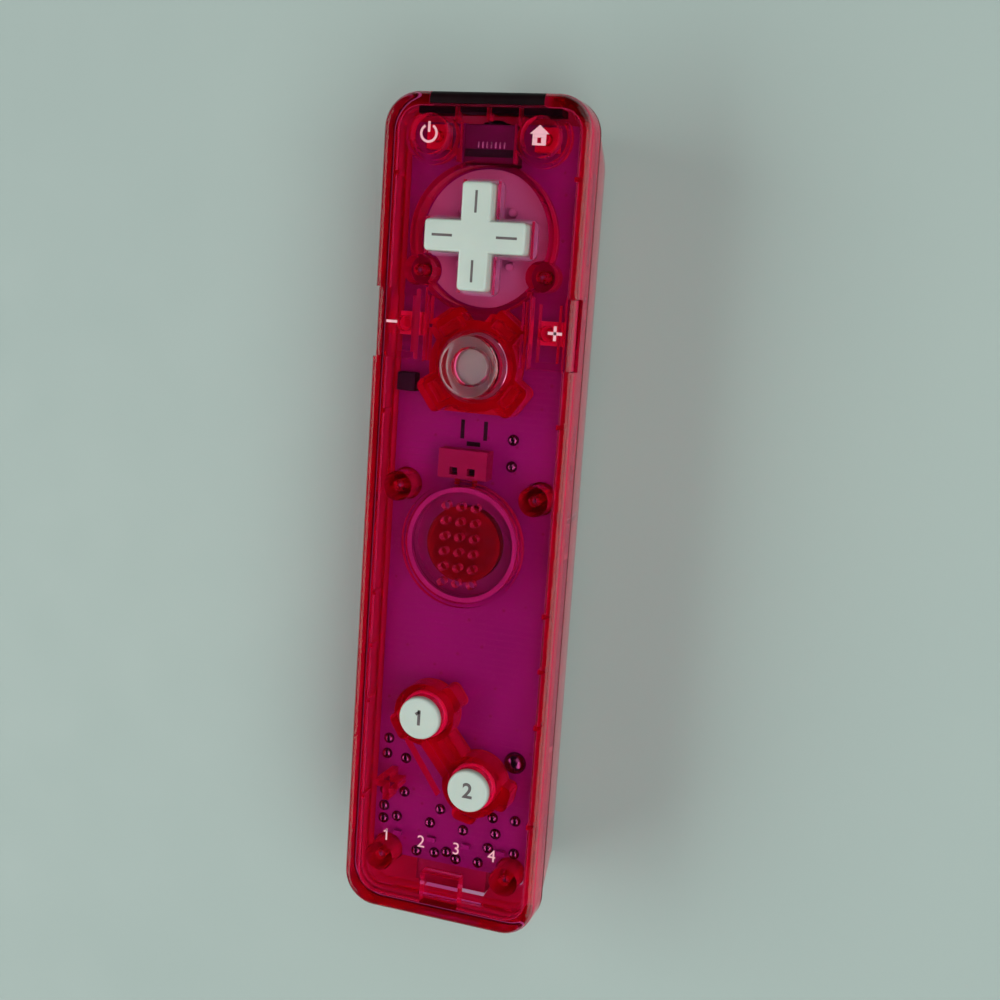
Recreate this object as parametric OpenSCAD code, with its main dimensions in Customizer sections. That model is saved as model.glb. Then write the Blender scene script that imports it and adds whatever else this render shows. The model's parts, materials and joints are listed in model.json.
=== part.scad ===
// Motion controller wand: a clear two-part shell over a circuit board, keys, a trigger and two AA cells.
// Millimetres. The origin lies under the middle of the body, on the plane that the back rests on.
// +Z goes up through the key face, +Y points out of the window end, +X is to the right of the key face.

/* [Body] */
// Width of the shell
body_w = 36; // [35:0.5:38]
// Length of the shell
body_l = 143.2; // [142:0.4:150]
// Corner radius of the outline seen from above
corner_r = 6; // [5:0.5:8]
// Fillet round the key face
edge_r = 1.3; // [0.9:0.1:1.6]
// Thickness of the key face
face_t = 1.8; // [1.5:0.1:2.2]
// Thickness of the front shell's side walls
side_wall = 2; // [1.6:0.1:2.2]
// Thickness of the rear shell and of the battery door
rear_wall = 1.5; // [1.2:0.1:1.7]
// Step by which the rear shell stands in from the front shell at the seam
seam_step = 0.2; // [0.1:0.05:0.4]

/* [Board] */
// Thickness of the circuit board
board_t = 1.2; // [0.8:0.1:1.6]
// Room between the shell's side and the edge of the circuit board
board_side = 3.3; // [2.9:0.1:3.8]
// Free height between the board and the key face
key_room = 4.2; // [4:0.1:5]

/* [Batteries] */
// Diameter of one cell
cell_d = 14.5; // [14:0.1:14.6]
// Length of one cell with its nub
cell_l = 50.5; // [49.5:0.1:50.5]
// Space left for each battery spring
spring_room = 5.1; // [4.8:0.1:5.5]

/* [Direction cross] */
// Distance from the window end to the middle of the cross
cross_from_end = 23.2; // [23:0.1:23.6]
// Span of the cross from tip to tip
cross_span = 17.6; // [16.5:0.1:18]
// Width of one arm
cross_arm = 5.2; // [4.8:0.1:5.8]
// Height of the cross above the face
cross_rise = 1.8; // [1:0.1:2.4]
// Gap between the cross and its opening
cross_gap = 0.45; // [0.4:0.05:0.6]

/* [Round keys] */
// Distance from the window end to the middle of the large key
large_key_from_end = 44.5; // [44:0.1:45]
// Diameter of the large key
large_key_d = 10.4; // [9.4:0.1:11]
// Diameter of the two numbered keys
number_key_d = 7.5; // [6.5:0.1:8]
// Height of the large and the numbered keys above the face
key_rise = 0.9; // [0.5:0.1:1.4]
// Diameter of the two small keys at the window end
small_key_d = 6.4; // [5.8:0.1:6.6]
// Height of the two small keys above the face
small_key_rise = 0.3; // [0.1:0.1:0.8]
// Radial gap between a key and its hole
key_gap = 0.15; // [0.1:0.05:0.25]
// Travel of the large and the numbered keys
key_travel = 0.9; // [0.6:0.1:1]
// Travel of the small keys and the side keys
switch_travel = 0.5; // [0.3:0.05:0.5]

/* [Side keys] */
// Distance from the window end to the middle of the minus and plus keys
side_key_from_end = 38.1; // [37.9:0.1:38.4]
// Length of the minus and plus keys
side_key_l = 11.5; // [10.5:0.1:11.7]
// Reach of a side key inward from the shell's side
side_key_reach = 8; // [7.2:0.1:8.2]
// Inset of a side key's outer face from the shell's side
side_key_inset = 0.5; // [0.3:0.1:0.8]

/* [Speaker] */
// Distance from the window end to the middle of the speaker
speaker_from_end = 75.1; // [74.6:0.1:75.6]
// Outer radius of the speaker
speaker_r = 10; // [9:0.1:10]
// Radius of one hole of the grille
grille_hole_r = 0.75; // [0.5:0.05:0.9]
// Pitch of the grille holes
grille_pitch = 2.66; // [2.2:0.02:2.8]

/* [Trigger] */
// Width of the trigger
trigger_w = 15; // [14:0.5:16]
// Radius of the trigger's hinge pin
pin_r = 1; // [0.8:0.1:1.2]
// Depth of the finger hollow in the back
hollow_depth = 4.5; // [4:0.1:5]

/* [Window and port] */
// Width of the infrared window
window_w = 19.8; // [18:0.2:20]
// Width of the port's socket
port_w = 11.8; // [10.8:0.2:12]
// Height of the port's socket
port_h = 6; // [5.4:0.1:6.2]

/* [Hidden] */
$fn = 40;
bit = 0.01;
overlap = 0.3;
far = 30;

// Colours of the working view
shell_colour = [0.85, 0.1, 0.35, 0.6];
dark_colour = [0.06, 0.05, 0.07];
white_colour = [0.92, 0.94, 0.92];
board_colour = [0.33, 0.08, 0.4];
silicone_colour = [0.75, 0.12, 0.2];
steel_colour = [0.7, 0.7, 0.72];
brass_colour = [0.8, 0.65, 0.3];

// Heights, stacked up from the back
cell_clear = 0.15;
cell_z = rear_wall + cell_clear + cell_d / 2;
tray_z = cell_z + cell_d / 2 + cell_clear;
tray_t = 1;
tray_top = tray_z + tray_t;
board_gap = 0.5;
board_z = tray_top + board_gap;
board_top = board_z + board_t;
face_under = board_top + key_room;
face_z = face_under + face_t;
seam_z = board_top;
seam_gap = 0.12;
stand_gap = 0.1;

// Body outline and grip
end_y = body_l / 2;
side_x = body_w / 2;
wall_x = side_x - side_wall;
wall_y = end_y - side_wall;
board_w = body_w - 2 * board_side;
cross_y = end_y - cross_from_end;
large_key_y = end_y - large_key_from_end;
side_key_y = end_y - side_key_from_end;
speaker_y = end_y - speaker_from_end;
cell_pitch = cell_d + 0.2;
grip_r = rear_wall + cell_clear + cell_d / 2;
grip_x = cell_pitch / 2;
grip_y = end_y - grip_r - 1.3;
cavity_fillet = 0.6;

// Port, pairing button and battery bay, stacked forward from the port end
port_wall = 0.9;
port_z = board_z - 4.8;
port_mouth_y = 3.3 - end_y;
port_floor_y = port_mouth_y + 6.4;
port_back_y = port_mouth_y + 7.7;
shelf_wall_y = port_back_y + 1.2;
sync_y = shelf_wall_y + 1.45;
bay_wall = 1.2;
bay_back = sync_y + 1.55 + bay_wall;
plate_t = 0.4;
bay_front = bay_back + 2 * plate_t + cell_l + spring_room;

// Screw bosses, as pairs at plus and minus x
boss_r = 2.6;
column_r = 2.8;
boss_window = [side_x - 7.2, cross_y - 5.8];
boss_middle = [side_x - 5.7, bay_front + 4.3];
boss_port = [side_x - 6.15, 9.2 - end_y];
boss_pairs = [boss_window, boss_middle, boss_port];
screw_shank_r = 0.95;
screw_head_r = 1.9;
screw_head_h = 1.4;
screw_seat_z = 8;
screw_pilot_r = 1;
screw_well_r = 2.1;
screw_hole_r = 1.15;
screw_top = face_under - 1.2;

// Keys and what carries them
flange_t = 1;
flange_gap = 0.3;
flange_side = 0.3;
flange_top = face_under - flange_gap;
flange_low = flange_top - flange_t;
large_flange_r = large_key_d / 2 + 0.7;
number_flange_r = number_key_d / 2 + 0.5;
small_flange_r = small_key_d / 2 + 0.8;
small_key_x = side_x - 8.5;
small_key_y = end_y - 6.9;
one_at = [-4.85, 37 - end_y];
two_at = [4.95, 25.45 - end_y];
key_link = two_at - one_at;
key_lean = atan2(key_link[1], key_link[0]);
dome_gap = 0.2;
sheet_t = 0.6;
sheet_top = board_top + sheet_t;
pocket_roof = face_under - 0.7;

// Touch switches under the small and the side keys
switch_w = 4;
switch_h = 1.6;
switch_bore_r = 0.95;
switch_bore_depth = 1.4;
plunger_r = 0.85;
plunger_low = board_top + switch_h - 0.8;
side_switch_x = board_w / 2 - switch_w / 2 - 0.1;

// Side keys
notch_inner_x = side_x - side_key_reach;
notch_floor = face_under - 0.8;
side_key_low = notch_floor + switch_travel + 0.25;
side_skirt_x = wall_x - 0.6;

// Direction cross
pivot_r = 1.5;
pivot_z = board_top + dome_gap + pivot_r;
pivot_clear = 0.08;
cross_lip = 0.75;
cross_flange_top = face_under - 1;
cross_flange_low = cross_flange_top - 0.8;
cross_hub_r = 2.6;
cross_dome_at = 6.3;
cross_sheet_t = 0.8;
cross_sheet_r = 11.4;
cross_ring_t = 0.9;
peg_at = 4.4;

// Finger hollow and trigger
hollow_y = bay_front + 25.8;
hollow_half = 16;
hollow_r = (hollow_half * hollow_half + hollow_depth * hollow_depth) / (2 * hollow_depth);
hollow_z = hollow_depth - hollow_r;
hinge_y = bay_front + 35.6;
hinge_z = hollow_depth + 4.7;
trigger_face_r = 30;
trigger_face_y = bay_front + 28.8;
trigger_face_z = hollow_depth - 0.2 - trigger_face_r;
trigger_t = 2;
trigger_tail = bay_front + 14.8;
trigger_nose = bay_front + 37.3;
trigger_gap = 0.3;
trigger_slot_tail = trigger_tail - 1.1;
trigger_slot_nose = trigger_nose + 0.7;
cheek_t = 1.4;
barrel_r = pin_r + 1;
barrel_inner_x = trigger_w / 2 - 3.5;
pin_run = 0.05;
ear_t = 1.8;
ear_x = trigger_w / 2 + trigger_gap;
post_y = bay_front + 20.8;
dome_low = board_z - 2.2;

// Battery door and pairing button
door_gap = 0.15;
door_recess = 0.1;
door_half = 12.6;
door_front = bay_front + bay_wall + 0.4;
sync_r = 1.3;
sync_gap = 0.15;
door_back = shelf_wall_y - 0.1;
sync_switch_w = [4, 2.9];
sync_low = rear_wall + 1;
sync_high = board_z - switch_h - 0.5;
nub_r = 2.75;
nub_l = 1.5;

// Infrared window and camera
window_gap = 0.1;
window_t = side_wall;
window_low = seam_z - 6;
tooth_top = face_under - 0.4;
tooth_low = board_top + 0.4;
tooth_back_y = wall_y - 0.2;
camera_w = 9.2;
camera_back = end_y - 11.1;
camera_front = end_y - 4.8;
camera_low = board_z - 3.3;
camera_top = board_top + 2.5;
lens_r = 2.4;
lens_z = board_top - 0.8;
board_front = end_y - 4.4;
board_back = 8.4 - end_y;
lamp_y = 12.2 - end_y;

// Port's tongue
tongue_w = port_w - 2.6;
tongue_t = 1.4;
tongue_y = port_mouth_y + 2.4;

// Motor
motor_r = 3;
motor_y = bay_front + 10;
motor_z = 7.5;
motor_x = [-9, 2];
shaft_r = 0.5;
shaft_end = 8.2;
weight_x = [3, 7.8];
weight_r = 2.8;

// Strap anchor in the port end
strap_x = side_x - 7.6;
strap_bar_r = 0.9;
strap_bar_y = 3.3 - end_y;

// Battery springs: a tapering coil of round wire along the cell
spring_wire_r = 0.35;
spring_turns = 3.5;
spring_rings = 8;
spring_sides = 6;
spring_wide_r = 4.6;
spring_narrow_r = 2.8;
spring_steps = spring_turns * spring_rings;
spring_lift = spring_room - 2 * (spring_wire_r + 0.05);

// A point on the spring's centre line, measured from its plate
function spring_radius(i) = spring_wide_r + (spring_narrow_r - spring_wide_r) * i / spring_steps;
function spring_angle(i) = 360 * i / spring_rings;
function spring_rise(i) = spring_wire_r + 0.05 + spring_lift * i / spring_steps;
function spring_point(i) = [
    spring_radius(i) * cos(spring_angle(i)), spring_rise(i), spring_radius(i) * sin(spring_angle(i))
];
// A point of the wire's skin on ring i
function spring_skin(i, side) =
    let (turn = 360 * side / spring_sides, reach = spring_radius(i) + spring_wire_r * cos(turn))
    [
        reach * cos(spring_angle(i)), spring_rise(i) + spring_wire_r * sin(turn),
        reach * sin(spring_angle(i))
    ];
spring_gap = min([
    for (i = [0 : spring_steps], j = [0 : spring_steps])
        if (j - i >= spring_rings / 2) norm(spring_point(j) - spring_point(i)) - 2 * spring_wire_r
]);
echo(spring_gap = spring_gap);

// Corner points of a rounded rectangle
function round_rect(w, l, r, steps = 8) = [
    for (corner = [0 : 3], i = [0 : steps])
        let (
            sx = (corner == 0 || corner == 3) ? 1 : -1,
            sy = corner < 2 ? 1 : -1,
            a = 90 * corner + 90 * i / steps
        )
        [sx * (w / 2 - r) + r * cos(a), sy * (l / 2 - r) + r * sin(a)]
];

// A box between two corners
module box(from, to) {
    translate(from)
        cube(to - from);
}

// Children at plus and minus x
module both_sides() {
    children();
    mirror([1, 0, 0])
        children();
}

// A cylinder along x between two ends
module bar_x(y, z, r, x0, x1) {
    translate([x0, y, z])
        rotate([0, 90, 0])
            cylinder(r = r, h = x1 - x0);
}

// A ring standing down from the key face
module face_ring(at, r_in, r_out, low) {
    translate([at[0], at[1], low])
        difference() {
            cylinder(r = r_out, h = face_under + overlap - low);
            translate([0, 0, -1])
                cylinder(r = r_in, h = far);
        }
}

// Block with a rounded outline and a filleted top, drawn in by inset
module face_block(inset, low, high, fillet) {
    r = corner_r - inset;
    steps = 8;
    rim = [
        for (i = [0 : steps])
            let (a = 90 * i / steps)
            [r - fillet + fillet * cos(a), high - fillet + fillet * sin(a)]
    ];
    hull()
        for (x = [-1, 1], y = [-1, 1])
            translate([x * (side_x - corner_r), y * (end_y - corner_r), 0])
                rotate_extrude()
                    polygon(concat([[0, low], [r, low]], rim, [[0, high]]));
}

// Boat-shaped grip that hugs the two cells, drawn in by inset
module grip_block(inset) {
    hull() {
        translate([0, 0, seam_z - bit])
            linear_extrude(bit)
                polygon(round_rect(
                    body_w - 2 * (seam_step + inset), body_l - 2 * (seam_step + inset), corner_r - inset
                ));
        for (x = [-1, 1], y = [-1, 1])
            translate([x * grip_x, y * grip_y, grip_r])
                sphere(grip_r - inset);
        box([-grip_x, -grip_y, inset], [grip_x, grip_y, inset + bit]);
    }
}

// Outline of the cross, widened by extra
module cross_outline(extra) {
    square([cross_span + 2 * extra, cross_arm + 2 * extra], center = true);
    square([cross_arm + 2 * extra, cross_span + 2 * extra], center = true);
}

// Round key with a retaining flange under the face
module round_key(r, rise, flange_r) {
    translate([0, 0, flange_top - bit])
        cylinder(r = r, h = face_z + rise - flange_top + bit);
    translate([0, 0, flange_low])
        cylinder(r = flange_r, h = flange_t);
}

// Outline of a lobe with rounded corners, from the origin out to reach
module lobe(angle, reach, w) {
    corner = 1.2;
    rotate(angle)
        translate([reach / 2, 0])
            polygon(round_rect(reach, w, corner, 4));
}

// Lobed outline of the large key's well and of the membrane under it
large_lobes = [54, 126, 216, 324];
module large_well_outline() {
    circle(r = large_flange_r + 1.9);
    for (angle = large_lobes)
        lobe(angle, side_x - 7.6, 6.2);
}

// Outline shared by the wells of the two numbered keys and their membrane
module number_well_outline() {
    for (at = [one_at, two_at])
        translate(at)
            circle(r = number_flange_r + 1.35);
    translate(one_at) {
        lobe(36, 7.2, 4.6);
        lobe(212, 6.4, 5.1);
        rotate(key_lean)
            translate([0, -3.8])
                square([norm(key_link), 5.7]);
    }
    translate(two_at) {
        lobe(-12, 7, 4.6);
        lobe(258, 6.8, 4.6);
    }
}

// Openings of the key face
module face_openings() {
    low = face_under - 1;
    translate([0, cross_y, low])
        linear_extrude(far)
            cross_outline(cross_gap);
    translate([0, large_key_y, low])
        cylinder(r = large_key_d / 2 + key_gap, h = far);
    for (at = [one_at, two_at])
        translate([at[0], at[1], low])
            cylinder(r = number_key_d / 2 + key_gap, h = far);
    both_sides()
        translate([small_key_x, small_key_y, low])
            cylinder(r = small_key_d / 2 + key_gap, h = far);
    for (column = [-1 : 1], row = [-2.5 : 2.5])
        translate([column * grille_pitch, speaker_y + 0.2 + row * grille_pitch, low])
            cylinder(r = grille_hole_r, h = far);
    both_sides()
        box(
            [notch_inner_x, side_key_y - side_key_l / 2 - key_gap, notch_floor],
            [side_x + 1, side_key_y + side_key_l / 2 + key_gap, face_z + 1]
        );
    box([-window_w / 2, wall_y - window_gap, seam_z - 1], [window_w / 2, end_y + 1, face_z + 1]);
}

// Bosses that take the case screws; the window pair stands on the board, the others on the rear columns
module front_bosses() {
    for (pair = boss_pairs) {
        low = (pair == boss_window ? board_top : board_z) + stand_gap;
        both_sides()
            translate([pair[0], pair[1], low])
                cylinder(r = boss_r, h = face_under + overlap - low);
    }
}

// Blind holes in the bosses
module boss_pilots() {
    for (pair = boss_pairs)
        both_sides()
            translate([pair[0], pair[1], board_z - 1])
                cylinder(r = screw_pilot_r, h = screw_top + 0.4 - board_z + 1);
}

// Solid walls round the large and the numbered keys, from the face down to their membranes
module key_wells() {
    low = sheet_top + stand_gap;
    tall = face_under + overlap - low;
    difference() {
        union() {
            translate([0, large_key_y, low])
                linear_extrude(tall)
                    large_well_outline();
            translate([0, 0, low])
                linear_extrude(tall)
                    number_well_outline();
        }
        translate([0, large_key_y, 0]) {
            cylinder(r = large_flange_r + flange_side, h = face_under);
            for (angle = large_lobes)
                rotate(angle)
                    box([7, -1.9, 0], [8.7, 1.9, pocket_roof]);
        }
        for (at = [one_at, two_at])
            translate([at[0], at[1], 0])
                cylinder(r = number_flange_r + flange_side, h = face_under);
        translate([one_at[0], one_at[1], 0])
            rotate(key_lean)
                box([5.4, -1.2, 0], [norm(key_link) - 5.2, 1.3, pocket_roof]);
    }
}

// Wall round the cross's membrane, cut clear of the camera and of the side keys
module cross_ring() {
    inner = cross_sheet_r + flange_side;
    difference() {
        face_ring([0, cross_y], inner, inner + cross_ring_t, sheet_top + stand_gap);
        box([-camera_w / 2 - 0.3, camera_back - 0.3, 0], [camera_w / 2 + 0.3, end_y, camera_top + 0.3]);
        both_sides()
            box([notch_inner_x - 1.3, 0, 0], [far, side_key_y + side_key_l / 2 + 0.9, face_under]);
    }
}

// Prop that keeps the board down, shaped like a plus sign
module board_prop(at) {
    low = board_top + stand_gap * 2;
    translate([at[0], at[1], 0]) {
        box([-0.6, -2.5, low], [0.6, 2.5, face_under + overlap]);
        box([-2.2, -0.2, low], [2.2, 1, face_under + overlap]);
    }
}

// Rings, props and ribs moulded under the face
module front_ribs() {
    rib_t = 0.6;
    low = face_under - 1.6;
    roof = face_under + overlap;
    face_ring([0, speaker_y], speaker_r + 0.25, speaker_r + 1, face_under - 1.2);
    intersection() {
        both_sides()
            face_ring([small_key_x, small_key_y], small_flange_r + flange_side, small_flange_r + 0.8, low);
        box([-far, 0, 0], [far, tooth_back_y - 2.2, far]);
    }
    both_sides()
        box([camera_w / 2 + 0.1, camera_back, low], [camera_w / 2 + 0.5, camera_front, roof]);
    for (x = [-5.5, 0, 5.5])
        box([x - rib_t / 2, camera_front + 0.4, low], [x + rib_t / 2, tooth_back_y - window_gap, roof]);
    both_sides()
        box([notch_inner_x - 1.9, side_key_y - 6, low], [notch_inner_x - 1.3, side_key_y + 5, roof]);
    for (share = [0.81, 0.25, -0.2, -0.335, -0.475, -0.726])
        both_sides()
            box(
                [wall_x - 0.7, share * end_y, board_top + 1.4],
                [wall_x + overlap, share * end_y + 0.8, roof]
            );
    board_prop([-11.2, 22.6 - end_y]);
    box([-3.6, -wall_y - overlap, seam_z + 1.5], [3.6, board_back - 0.6, roof]);
    translate([one_at[0] - 3.6, one_at[1] - 4.8, low])
        rotate(key_lean - 5)
            cube([11.8, 0.35, roof - low]);
}

module front_shell() {
    color(shell_colour)
        difference() {
            union() {
                difference() {
                    face_block(0, seam_z + seam_gap, face_z, edge_r);
                    face_block(side_wall, seam_z - 1, face_under, cavity_fillet);
                }
                front_bosses();
                front_ribs();
                key_wells();
                cross_ring();
            }
            face_openings();
            boss_pilots();
        }
}

// Bar that cuts the finger hollow, grown by extra
module hollow_bar(extra) {
    bar_x(hollow_y, hollow_z, hollow_r + extra, -far, far);
}

// Columns, bay walls, ribs and ears inside the rear shell
module rear_inside() {
    for (pair = boss_pairs)
        both_sides()
            translate([pair[0], pair[1], 0])
                cylinder(r = column_r, h = board_z);
    box([-far, bay_back - bay_wall, tray_z], [far, bay_front + bay_wall, tray_top]);
    box([-far, bay_front, 0], [far, bay_front + bay_wall, tray_top]);
    box([-far, bay_back - bay_wall, 0], [far, bay_back, tray_top]);
    box([-far, shelf_wall_y - 1, 0], [far, shelf_wall_y, tray_top]);
    box([-far, shelf_wall_y - 1, rear_wall + 2], [far, bay_back, rear_wall + 3.2]);
    both_sides() {
        translate([9, bay_back + 7.2, tray_top - overlap])
            cylinder(r = 1.5, h = board_z - tray_top + overlap);
        box([2.4, camera_back + 1, 0], [3.4, camera_front - 0.6, camera_low]);
        box([4, port_mouth_y + 0.6, 0], [5, port_back_y - 0.4, port_z - port_h / 2 - port_wall]);
        box([ear_x, hinge_y - 2.2, 0], [ear_x + ear_t, hinge_y + 2.2, hinge_z + 2.2]);
    }
    for (x = [motor_x[0] + 1, motor_x[1] - 2.2])
        difference() {
            box([x, motor_y - motor_r - 0.6, 0], [x + 1.2, motor_y + motor_r + 0.6, motor_z]);
            bar_x(motor_y, motor_z, motor_r + 0.05, -far, far);
        }
    box([strap_x - 3, -end_y, cell_z - 4.6], [strap_x + 3, 6.2 - end_y, cell_z + 1.8]);
}

// Tongue that stands up inside the front shell's wall
module seam_lip() {
    lip_t = 0.8;
    lip_gap = 0.15;
    inset = side_wall + lip_gap;
    difference() {
        union() {
            translate([0, 0, seam_z - 1.6])
                linear_extrude(1.6)
                    polygon(round_rect(body_w - 2.8, body_l - 2.8, corner_r - 1.4));
            translate([0, 0, seam_z - bit])
                linear_extrude(1.2)
                    polygon(round_rect(body_w - 2 * inset, body_l - 2 * inset, corner_r - inset));
        }
        translate([0, 0, seam_z - far / 2])
            linear_extrude(far)
                polygon(round_rect(
                    body_w - 2 * (inset + lip_t), body_l - 2 * (inset + lip_t), corner_r - inset - lip_t
                ));
        box([-window_w / 2 - 3.5, board_front - 1, 0], [window_w / 2 + 3.5, end_y, far]);
    }
}

// Wells for the case screws, from the back
module screw_wells() {
    for (pair = boss_pairs)
        both_sides()
            translate([pair[0], pair[1], 0]) {
                translate([0, 0, -1])
                    cylinder(r = screw_well_r, h = screw_seat_z + 1);
                cylinder(r = screw_hole_r, h = far);
            }
}

// Way through the port end for a strap cord, round an upright bar
module strap_pocket() {
    difference() {
        box([strap_x - 2, -end_y - 1, cell_z - 3.5], [strap_x + 2, 5.2 - end_y, cell_z + 0.7]);
        translate([strap_x, strap_bar_y, 0])
            cylinder(r = strap_bar_r, h = far);
    }
}

module rear_shell() {
    color(shell_colour)
        difference() {
            union() {
                difference() {
                    grip_block(0);
                    difference() {
                        grip_block(rear_wall);
                        hollow_bar(rear_wall);
                    }
                    box([-wall_x, -wall_y, seam_z - bit * 4], [wall_x, wall_y, seam_z + 1]);
                }
                seam_lip();
                intersection() {
                    grip_block(0);
                    rear_inside();
                }
            }
            hollow_bar(0);
            box(
                [-trigger_w / 2 - trigger_gap, trigger_slot_tail, -1],
                [trigger_w / 2 + trigger_gap, trigger_slot_nose, hollow_depth + rear_wall + 1]
            );
            difference() {
                box(
                    [-door_half - door_gap, door_back - door_gap, -1],
                    [door_half + door_gap, door_front + door_gap, cell_z - 4]
                );
                grip_block(rear_wall + 0.2);
            }
            box(
                [-port_w / 2 - 0.2, -end_y - 1, port_z - port_h / 2 - 0.1],
                [port_w / 2 + 0.2, port_mouth_y + 0.4, port_z + port_h / 2 + 0.1]
            );
            box([-window_w / 2, end_y - 4, window_low - window_gap], [window_w / 2, end_y + 1, far]);
            screw_wells();
            strap_pocket();
            translate([0, sync_y, 0])
                cylinder(r = sync_r + sync_gap, h = rear_wall + 5);
            bar_x(hinge_y, hinge_z, pin_r + 0.03, -ear_x - ear_t - 1, ear_x + ear_t + 1);
        }
}

module ir_window() {
    half = window_w / 2 - window_gap;
    color(dark_colour) {
        intersection() {
            face_block(0, seam_z, face_z, edge_r);
            box([-half, end_y - window_t, seam_z], [half, end_y + 1, face_z + 1]);
        }
        intersection() {
            grip_block(0);
            box([-half, end_y - window_t, window_low], [half, end_y + 1, seam_z]);
        }
        box([-half, tooth_back_y - bit, tooth_low], [half, end_y - window_t + bit, tooth_top]);
        both_sides() {
            box([5.9, tooth_back_y - 1.2, tooth_low], [half + 2.6, tooth_back_y, tooth_top]);
            box([0.4, tooth_back_y - 0.9, tooth_low], [5.1, tooth_back_y, tooth_top]);
        }
    }
}

module ir_camera() {
    color(dark_colour)
        difference() {
            box([-camera_w / 2, camera_back, camera_low], [camera_w / 2, camera_front, camera_top]);
            translate([0, camera_front - 1.5, lens_z])
                rotate([-90, 0, 0])
                    cylinder(r = lens_r + 0.05, h = 3);
        }
}

module camera_lens() {
    color(dark_colour)
        translate([0, camera_front - 1.4, lens_z])
            rotate([-90, 0, 0]) {
                cylinder(r = lens_r, h = 1.9);
                translate([0, 0, 1.9 - bit])
                    cylinder(r1 = lens_r - 0.4, r2 = lens_r - 1.4, h = 0.5);
            }
}

module main_board() {
    color(board_colour)
        difference() {
            box([-board_w / 2, board_back, board_z], [board_w / 2, board_front, board_top]);
            box([-camera_w / 2 - 0.3, camera_back - 0.3, 0], [camera_w / 2 + 0.3, end_y, far]);
            both_sides() {
                for (pair = [boss_middle, boss_port])
                    translate([pair[0], pair[1], board_z - 1])
                        cylinder(r = boss_r + 0.3, h = 4);
                translate([boss_window[0], boss_window[1], board_z - 1])
                    cylinder(r = screw_hole_r, h = 4);
                box([boss_port[0], board_back - 1, 0], [far, boss_port[1], far]);
            }
        }
}

module main_chip() {
    color(dark_colour)
        box([-4, post_y + 3.2, board_z - 1], [4, post_y + 11.2, board_z]);
}

module radio_shield() {
    color(steel_colour)
        translate([-8, camera_back - 12.5, board_z])
            difference() {
                box([0, 0, -2], [11, 11, 0]);
                box([0.3, 0.3, -1.7], [10.7, 10.7, 1]);
            }
}

module clock_crystal() {
    color(steel_colour)
        box([5, cross_y - 0.4, board_z - 1.2], [7.5, cross_y + 4.6, board_z]);
}

module power_coil() {
    color(dark_colour)
        translate([0.4 - board_w / 2, large_key_y - 5.2, board_top])
            cube([3.4, 3.2, 2.2]);
}

// Small soldered parts on the far side of the board
module board_parts() {
    part_size = [1.7, 1.1, 0.8];
    rows = [16.3, 19.5, 22.7];
    color(dark_colour)
        both_sides()
            for (ahead = rows)
                translate([10.8, speaker_y + ahead, board_z - part_size[2]])
                    translate(-[part_size[0], part_size[1], 0] / 2)
                        cube(part_size);
}

// Domed joints where the leads of parts on the far side come through the board
module solder_points() {
    joint_r = 1;
    joint_h = 0.75;
    spread = board_w / 29.4;
    places = [
        [-12.8, 30.1], [-13, 27.2], [-9.3, 26.9], [-13, 20.2], [-9.2, 20.5], [-13, 17.2], [-13, 14.8],
        [-10.4, 15.6], [-3.9, 15.6], [-2.1, 18.5], [2.5, 15.4], [7.9, 18.8], [12.1, 19], [8.6, 15.9],
        [7.4, 13], [12.3, 12.9], [-6.2, 9.8], [-2.7, 10.1], [-0.4, 10.7], [1.5, 9.7], [5.7, 9.9]
    ];
    color(steel_colour) {
        for (place = places)
            translate([place[0] * spread, place[1] - end_y, board_top])
                cylinder(r1 = joint_r, r2 = joint_r / 2, h = joint_h);
        for (ahead = [13.9, 18.5])
            translate([6.8, speaker_y + ahead, board_top])
                cylinder(r1 = joint_r, r2 = joint_r / 2, h = joint_h);
        translate([11.3 * spread, 29.7 - end_y, board_top])
            cylinder(r1 = joint_r * 2, r2 = joint_r, h = joint_h * 2);
    }
}

module player_lamps() {
    lamp_size = [1.6, 0.9, 0.8];
    pitch = 6.65;
    color(white_colour)
        for (i = [-1.5 : 1.5])
            translate([i * pitch - lamp_size[0] / 2, lamp_y, board_top])
                cube(lamp_size);
}

module dpad_membrane() {
    dome_top = cross_flange_low - dome_gap;
    color(white_colour)
        translate([0, cross_y, board_top]) {
            difference() {
                cylinder(r = cross_sheet_r, h = cross_sheet_t);
                translate([0, 0, -1])
                    cylinder(r = cross_hub_r + 0.6, h = far);
                both_sides()
                    translate([boss_window[0], boss_window[1] - cross_y, -1])
                        cylinder(r = boss_r + 0.4, h = far);
            }
            for (a = [0 : 90 : 270])
                rotate(a) {
                    translate([cross_dome_at, 0, cross_sheet_t - bit])
                        cylinder(r1 = 2.4, r2 = 1.6, h = dome_top - board_top - cross_sheet_t + bit);
                    translate([peg_at, peg_at, cross_sheet_t - bit])
                        cylinder(r = 0.7, h = 1.4);
                }
        }
}

// Silicone dome on a sheet, up to the underside of a key
module key_dome(at, r) {
    translate([at[0], at[1], sheet_top - bit])
        cylinder(r1 = r + 0.8, r2 = r, h = flange_low - dome_gap - sheet_top + bit);
}

module a_membrane() {
    color(silicone_colour) {
        translate([0, large_key_y, board_top])
            linear_extrude(sheet_t)
                large_well_outline();
        key_dome([0, large_key_y], 3.2);
    }
}

module number_membrane() {
    color(silicone_colour) {
        translate([0, 0, board_top])
            linear_extrude(sheet_t)
                number_well_outline();
        for (at = [one_at, two_at])
            key_dome(at, 2.4);
    }
}

// Centres of the four touch switches: both small keys and both side keys
module at_switches() {
    both_sides() {
        translate([small_key_x, small_key_y, 0])
            children();
        translate([side_switch_x, side_key_y, 0])
            children();
    }
}

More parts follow.
